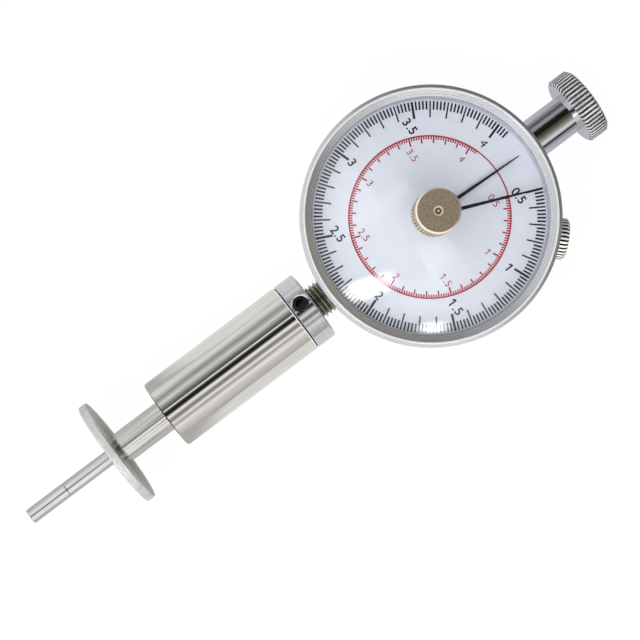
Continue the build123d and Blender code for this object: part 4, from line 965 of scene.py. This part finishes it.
# Numbers: they stand on ellipses, the wide ones at the sides on their own, and the black 4 is printed finer
NUMBER_STEP = 0.5
LETTER_SPACING = 1.1
PRINTED_LOW = 0.35
BLACK_SIZE = 2.75
BLACK_RADII = (20.5, 19.95)
BLACK_SIDES = {"1.5": (20.75, 17.1), "3.5": (20.65, 18.3)}
BLACK_BOLDNESS = 0.05
FINE_NUMBER = "4"
RED_SIZE = 2.2
RED_RADII = (14.8, 14.5)
RED_SIDES = {"1.5": (13.95, 14.2), "3.5": (13.95, 14.2)}
# Flag of a 1: its slope, and its place and half sizes as shares of the number's size
FLAG_SLOPE = radians(38)
FLAG_LEFT = 0.06
FLAG_DOWN = 0.11
FLAG_HALF_LENGTH = 0.14
FLAG_HALF_WIDTH = 0.05


def add_number(builder, words, turn, radii, size, boldness):
    """An upright number on an ellipse of the dial, a little low as it was printed, in millimetres.

    A 1 in front gets the short flag that the built-in letters lack.
    """
    curve = bpy.data.curves.new("number", "FONT")
    curve.body = words
    curve.size = size * MM
    curve.offset = boldness * MM
    curve.space_character = LETTER_SPACING
    curve.align_x = "CENTER"
    curve.align_y = "CENTER"
    letters = bpy.data.objects.new("number", curve)
    bpy.context.scene.collection.objects.link(letters)
    bpy.context.view_layer.update()
    mesh = bpy.data.meshes.new_from_object(letters.evaluated_get(bpy.context.evaluated_depsgraph_get()))
    left = min(vert.co.x for vert in mesh.vertices)
    top = max(vert.co.y for vert in mesh.vertices)
    across, up = radii
    place = Matrix.Translation((across * sin(turn) * MM, (up * cos(turn) - PRINTED_LOW) * MM, PRINT_TOP))
    mesh.transform(place)
    builder.from_mesh(mesh)
    if words[0] == "1":
        flag = (
            Matrix.Translation((left - FLAG_LEFT * size * MM, top - FLAG_DOWN * size * MM, 0))
            @ Matrix.Rotation(FLAG_SLOPE, 4, "Z")
            @ Matrix.Diagonal((FLAG_HALF_LENGTH * size * MM, (FLAG_HALF_WIDTH * size + boldness) * MM, 1, 1))
        )
        bmesh.ops.create_grid(builder, x_segments=1, y_segments=1, size=1, matrix=place @ flag)
    bpy.data.objects.remove(letters)
    bpy.data.curves.remove(curve)
    bpy.data.meshes.remove(mesh)


black_numbers = bmesh.new()
red_numbers = bmesh.new()
for count in range(1, int(SCALE_END / NUMBER_STEP) + 1):
    value = count * NUMBER_STEP
    words = f"{value:g}"
    boldness = 0.0 if words == FINE_NUMBER else BLACK_BOLDNESS
    black_radii = BLACK_SIDES.get(words, BLACK_RADII)
    red_radii = RED_SIDES.get(words, RED_RADII)
    add_number(black_numbers, words, scale_turn(value), black_radii, BLACK_SIZE, boldness)
    add_number(red_numbers, words, scale_turn(value * BLACK_PER_RED), red_radii, RED_SIZE, boldness=0.0)
add_piece("black_numbers", black_numbers, "bezel", "dial_enamel", materials=[BLACK_INK])
add_piece("red_numbers", red_numbers, "bezel", "dial_enamel", materials=[RED_INK])

# Floor through the rims of the flange and the hand knob, on which the tester lies, in metres
FLOOR_SIZE = 3.0
floor_slope = atan((hand_knob_low.z - flange_low.z) / (hand_knob_high.y - flange_low.y))
floor_builder = bmesh.new()
bmesh.ops.create_grid(
    floor_builder,
    x_segments=1,
    y_segments=1,
    size=FLOOR_SIZE,
    matrix=Matrix.Translation((0, flange_low.y, flange_low.z)) @ Matrix.Rotation(floor_slope, 4, "X"),
)
floor_mesh = bpy.data.meshes.new("floor")
floor_builder.to_mesh(floor_mesh)
floor_builder.free()
floor = bpy.data.objects.new("floor", floor_mesh)
bpy.context.scene.collection.objects.link(floor)

# White paper: white to the eye, with a trace of the shadow that falls on it, and greyer in reflections
PAPER_GLOW = 0.96
# Its tones there, from beside the flange to beyond the hand knob, and where along the tool they start and end
PAPER_START = -0.09
PAPER_END = 0.1
PAPER_TONES = [(0.1, "BCBCB8"), (0.15, "EAEAE8"), (0.4, "EAEAE8"), (0.65, "CACAD0"), (1.0, "404042")]
floor_material, floor_tree = new_material("paper_white")
paper = add_node(floor_tree, "ShaderNodeBsdfDiffuse", {"Color": linear("F4F4F4")})
path = add_node(floor_tree, "ShaderNodeLightPath")
mirrored = add_node(
    floor_tree,
    "ShaderNodeMath",
    {0: path.outputs["Is Glossy Ray"], 1: path.outputs["Is Transmission Ray"]},
    operation="MAXIMUM",
)
seen = add_node(
    floor_tree,
    "ShaderNodeMath",
    {0: path.outputs["Is Camera Ray"], 1: mirrored.outputs[0]},
    operation="MAXIMUM",
)
place = add_node(floor_tree, "ShaderNodeTexCoord")
parts = add_node(floor_tree, "ShaderNodeSeparateXYZ", {0: place.outputs["Object"]})
along = add_node(
    floor_tree,
    "ShaderNodeMapRange",
    {"Value": parts.outputs["Y"], "From Min": PAPER_START, "From Max": PAPER_END},
)
paper_tone = add_node(floor_tree, "ShaderNodeValToRGB", {"Fac": along.outputs[0]}, stops=PAPER_TONES)
tone = add_node(
    floor_tree,
    "ShaderNodeMixRGB",
    {"Fac": mirrored.outputs[0], "Color1": linear("FFFFFF"), "Color2": paper_tone.outputs[0]},
)
glow = add_node(floor_tree, "ShaderNodeEmission", {"Color": tone.outputs[0], "Strength": 1.0})
share = add_node(floor_tree, "ShaderNodeMath", {0: seen.outputs[0], 1: PAPER_GLOW}, operation="MULTIPLY")
mix = add_node(
    floor_tree, "ShaderNodeMixShader", {0: share.outputs[0], 1: paper.outputs[0], 2: glow.outputs[0]}
)
add_node(floor_tree, "ShaderNodeOutputMaterial", {"Surface": mix.outputs[0]})
floor_mesh.materials.append(floor_material)

# Studio: a light tent of long panels beside the tool, with a dark slit where the camera looks in
TENT_STRENGTH = 1.0
# Its strength where it lights matt surfaces
TENT_LIGHT = 3.0
# Panels, with how far each leans from straight above, in degrees
TIP_PANELS = [
    (-90, "C0C0C0"), (-74, "C8C8C8"), (-60, "E4E4E4"), (-22, "F4F4F4"), (-12, "DCDCDC"), (-7, "181818"),
    (11, "181818"), (17, "E8E8E8"), (40, "FFFFFF"), (62, "FFFFFF"), (90, "B4B4B4"),
]
SHAFT_PANELS = [
    (-90, "C0C0BC"), (-60, "D8D8D4"), (-40, "CCCCC8"), (-30, "DADAD6"), (-11, "B8B8B4"), (-6, "181818"),
    (4, "181818"), (8, "E8E8E6"), (13, "FFFFFF"), (19, "FFFFFF"), (26, "CCCCCA"), (33, "FFFFFF"),
    (44, "DCDCD8"), (64, "F0F0EC"), (76, "B0B0AC"), (90, "A0A098"),
]
BARREL_PANELS = [
    (-90, "D8D8D6"), (-74, "F0F0EE"), (-54, "9A9A98"), (-38, "E4E4E2"), (-24, "808080"), (-16, "484848"),
    (-12, "FFFFFF"), (-8, "505050"), (-2, "101010"), (4, "404040"), (9, "FFFFFF"), (13, "FFFFFF"),
    (18, "A09C9A"), (25, "908A88"), (33, "FFFFFF"), (41, "B0AAA8"), (52, "FFFFFF"), (64, "E0DEDC"),
    (90, "BAB8B4"),
]
STEM_PANELS = [
    (-90, "B0B0B2"), (-78, "808082"), (-65, "505052"), (-46, "ACACAE"), (-36, "909092"), (-28, "202020"),
    (-8, "1A1A18"), (2, "383630"), (20, "706C60"), (38, "ACAA9E"), (54, "F4F4F2"), (62, "D8DADE"),
    (71, "30343C"), (80, "40444E"), (90, "D0D2D6"),
]
# Plain walls at the ends of the tent
TIP_WALL_PANELS = [(-90, "E6E6E8"), (90, "E6E6E8")]
KNOB_WALL_PANELS = [(-90, "3C3C3E"), (90, "4C4C4E")]
# Each set of panels, and where it takes over from those above it, as the Y of a way out of the tool
PANEL_SETS = (
    (TIP_PANELS, None),
    (SHAFT_PANELS, (-0.09, -0.084)),
    (BARREL_PANELS, (-0.062, -0.056)),
    (STEM_PANELS, (0.09, 0.12)),
    (TIP_WALL_PANELS, (-0.3, -0.5)),
    (KNOB_WALL_PANELS, (0.3, 0.5)),
)
# Sockets of a Mix node that mixes colours: the two colours, and their mix
FIRST_COLOUR = 6
SECOND_COLOUR = 7
MIXED_COLOUR = 2
world = bpy.data.worlds.new("light_tent")
bpy.context.scene.world = world
world.use_nodes = True
tent = world.node_tree
tent.nodes.clear()
way = add_node(tent, "ShaderNodeTexCoord")
parts = add_node(tent, "ShaderNodeSeparateXYZ", {0: way.outputs["Generated"]})
lean = add_node(tent, "ShaderNodeMath", {0: parts.outputs["X"], 1: parts.outputs["Z"]}, operation="ARCTAN2")
place = add_node(
    tent, "ShaderNodeMapRange", {"Value": lean.outputs[0], "From Min": -pi / 2, "From Max": pi / 2}
)
for stops, join in PANEL_SETS:
    colours = add_node(
        tent,
        "ShaderNodeValToRGB",
        {"Fac": place.outputs[0]},
        stops=[((degrees + 90) / 180, colour) for degrees, colour in stops],
    )
    if join is None:
        panels = colours.outputs[0]
        continue
    start, end = join
    share = add_node(
        tent, "ShaderNodeMapRange", {"Value": parts.outputs["Y"], "From Min": start, "From Max": end}
    )
    panels = add_node(
        tent,
        "ShaderNodeMix",
        {0: share.outputs[0], FIRST_COLOUR: panels, SECOND_COLOUR: colours.outputs[0]},
        data_type="RGBA",
    ).outputs[MIXED_COLOUR]

# Windows where the lamps shine through: lean in degrees, way of the lean, long way, half sizes, strength
WINDOWS = (
    (25.6, (0.238, -0.971), (0.245, 0.97), (0.15, 0.052), 14.0),
    (33.0, (0.894, -0.449), (0.53, 0.85), (0.079, 0.034), 14.0),
)
# Where a window has faded out and where it is full, in half sizes
WINDOW_OUTSIDE = 1.5
WINDOW_INSIDE = 0.1


def lamp_way(lean_degrees, towards):
    """A way that leans from straight above the dial."""
    across = Vector((*towards, 0)).normalized()
    return Matrix.Rotation(radians(lean_degrees), 3, Vector((0, 0, 1)).cross(across)) @ Vector((0, 0, 1))


shown = panels
for lean_degrees, towards, along, half_size, brightness in WINDOWS:
    straight = lamp_way(lean_degrees, towards)
    wide = straight.cross((*along, 0)).normalized()
    tall = wide.cross(straight)
    inside = add_node(
        tent, "ShaderNodeVectorMath", {0: way.outputs["Generated"], 1: straight}, operation="DOT_PRODUCT"
    ).outputs["Value"]
    for axis, half in zip((tall, wide), half_size):
        offset = add_node(
            tent,
            "ShaderNodeVectorMath",
            {0: way.outputs["Generated"], 1: axis / half},
            operation="DOT_PRODUCT",
        )
        apart = add_node(tent, "ShaderNodeMath", {0: offset.outputs["Value"]}, operation="ABSOLUTE")
        within = add_node(
            tent,
            "ShaderNodeMapRange",
            {"Value": apart.outputs[0], "From Min": WINDOW_OUTSIDE, "From Max": WINDOW_INSIDE},
            interpolation_type="SMOOTHSTEP",
        )
        inside = add_node(
            tent, "ShaderNodeMath", {0: inside, 1: within.outputs[0]}, operation="MULTIPLY"
        ).outputs[0]
    shown = add_node(
        tent,
        "ShaderNodeMix",
        {0: inside, FIRST_COLOUR: shown, SECOND_COLOUR: [brightness, brightness, brightness, 1]},
        data_type="RGBA",
    ).outputs[MIXED_COLOUR]

# The windows show to the eye and in reflections only, and panels and lamps light matt surfaces instead
FIRST_BOUNCE = 1
path = add_node(tent, "ShaderNodeLightPath")
unlit = add_node(
    tent, "ShaderNodeMath", {0: path.outputs["Diffuse Depth"], 1: FIRST_BOUNCE}, operation="LESS_THAN"
)
mirrored = add_node(
    tent, "ShaderNodeMath", {0: path.outputs["Is Glossy Ray"], 1: unlit.outputs[0]}, operation="MULTIPLY"
)
seen = add_node(
    tent, "ShaderNodeMath", {0: path.outputs["Is Camera Ray"], 1: mirrored.outputs[0]}, operation="MAXIMUM"
)
strength = add_node(
    tent, "ShaderNodeMapRange", {"Value": seen.outputs[0], "To Min": TENT_LIGHT, "To Max": TENT_STRENGTH}
)
colour = add_node(
    tent,
    "ShaderNodeMix",
    {0: seen.outputs[0], FIRST_COLOUR: panels, SECOND_COLOUR: shown},
    data_type="RGBA",
)
background = add_node(
    tent,
    "ShaderNodeBackground",
    {"Color": colour.outputs[MIXED_COLOUR], "Strength": strength.outputs[0]},
)
add_node(tent, "ShaderNodeOutputWorld", {"Surface": background.outputs[0]})

# Lamps: sizes and places in metres, power in watts
SOFTBOX_DISTANCE = 0.8
SOFTBOX_SIDE = 0.5


def add_softbox(name, lean_degrees, towards, power):
    """Square lamp above the dial, for matt surfaces only."""
    way = lamp_way(lean_degrees, towards)
    lamp = bpy.data.lights.new(name, "AREA")
    lamp.shape = "SQUARE"
    lamp.size = SOFTBOX_SIDE
    lamp.energy = power
    box = bpy.data.objects.new(name, lamp)
    box.location = Vector((0, 0, DIAL_TOP)) + way * SOFTBOX_DISTANCE
    box.rotation_euler = way.to_track_quat("Z", "Y").to_euler()
    box.visible_glossy = False
    box.visible_transmission = False
    bpy.context.scene.collection.objects.link(box)


add_softbox("softbox_left", lean_degrees=24.6, towards=(0.26, -0.966), power=0.7)
add_softbox("softbox_right", lean_degrees=32.3, towards=(0.892, -0.453), power=0.6)

# Camera
camera_data = bpy.data.cameras.new("camera")
camera_data.sensor_width = SENSOR_WIDTH
camera_data.lens = FOCAL_PIXELS / IMAGE_PIXELS * SENSOR_WIDTH
camera = bpy.data.objects.new("camera", camera_data)
back = (CAMERA_PLACE - CAMERA_TARGET).normalized()
right = CAMERA_UP.cross(back).normalized()
up = back.cross(right)
camera.matrix_world = Matrix.Translation(CAMERA_PLACE) @ Matrix((right, up, back)).transposed().to_4x4()
bpy.context.scene.collection.objects.link(camera)
bpy.context.scene.camera = camera
bpy.context.scene.view_settings.view_transform = "Standard"
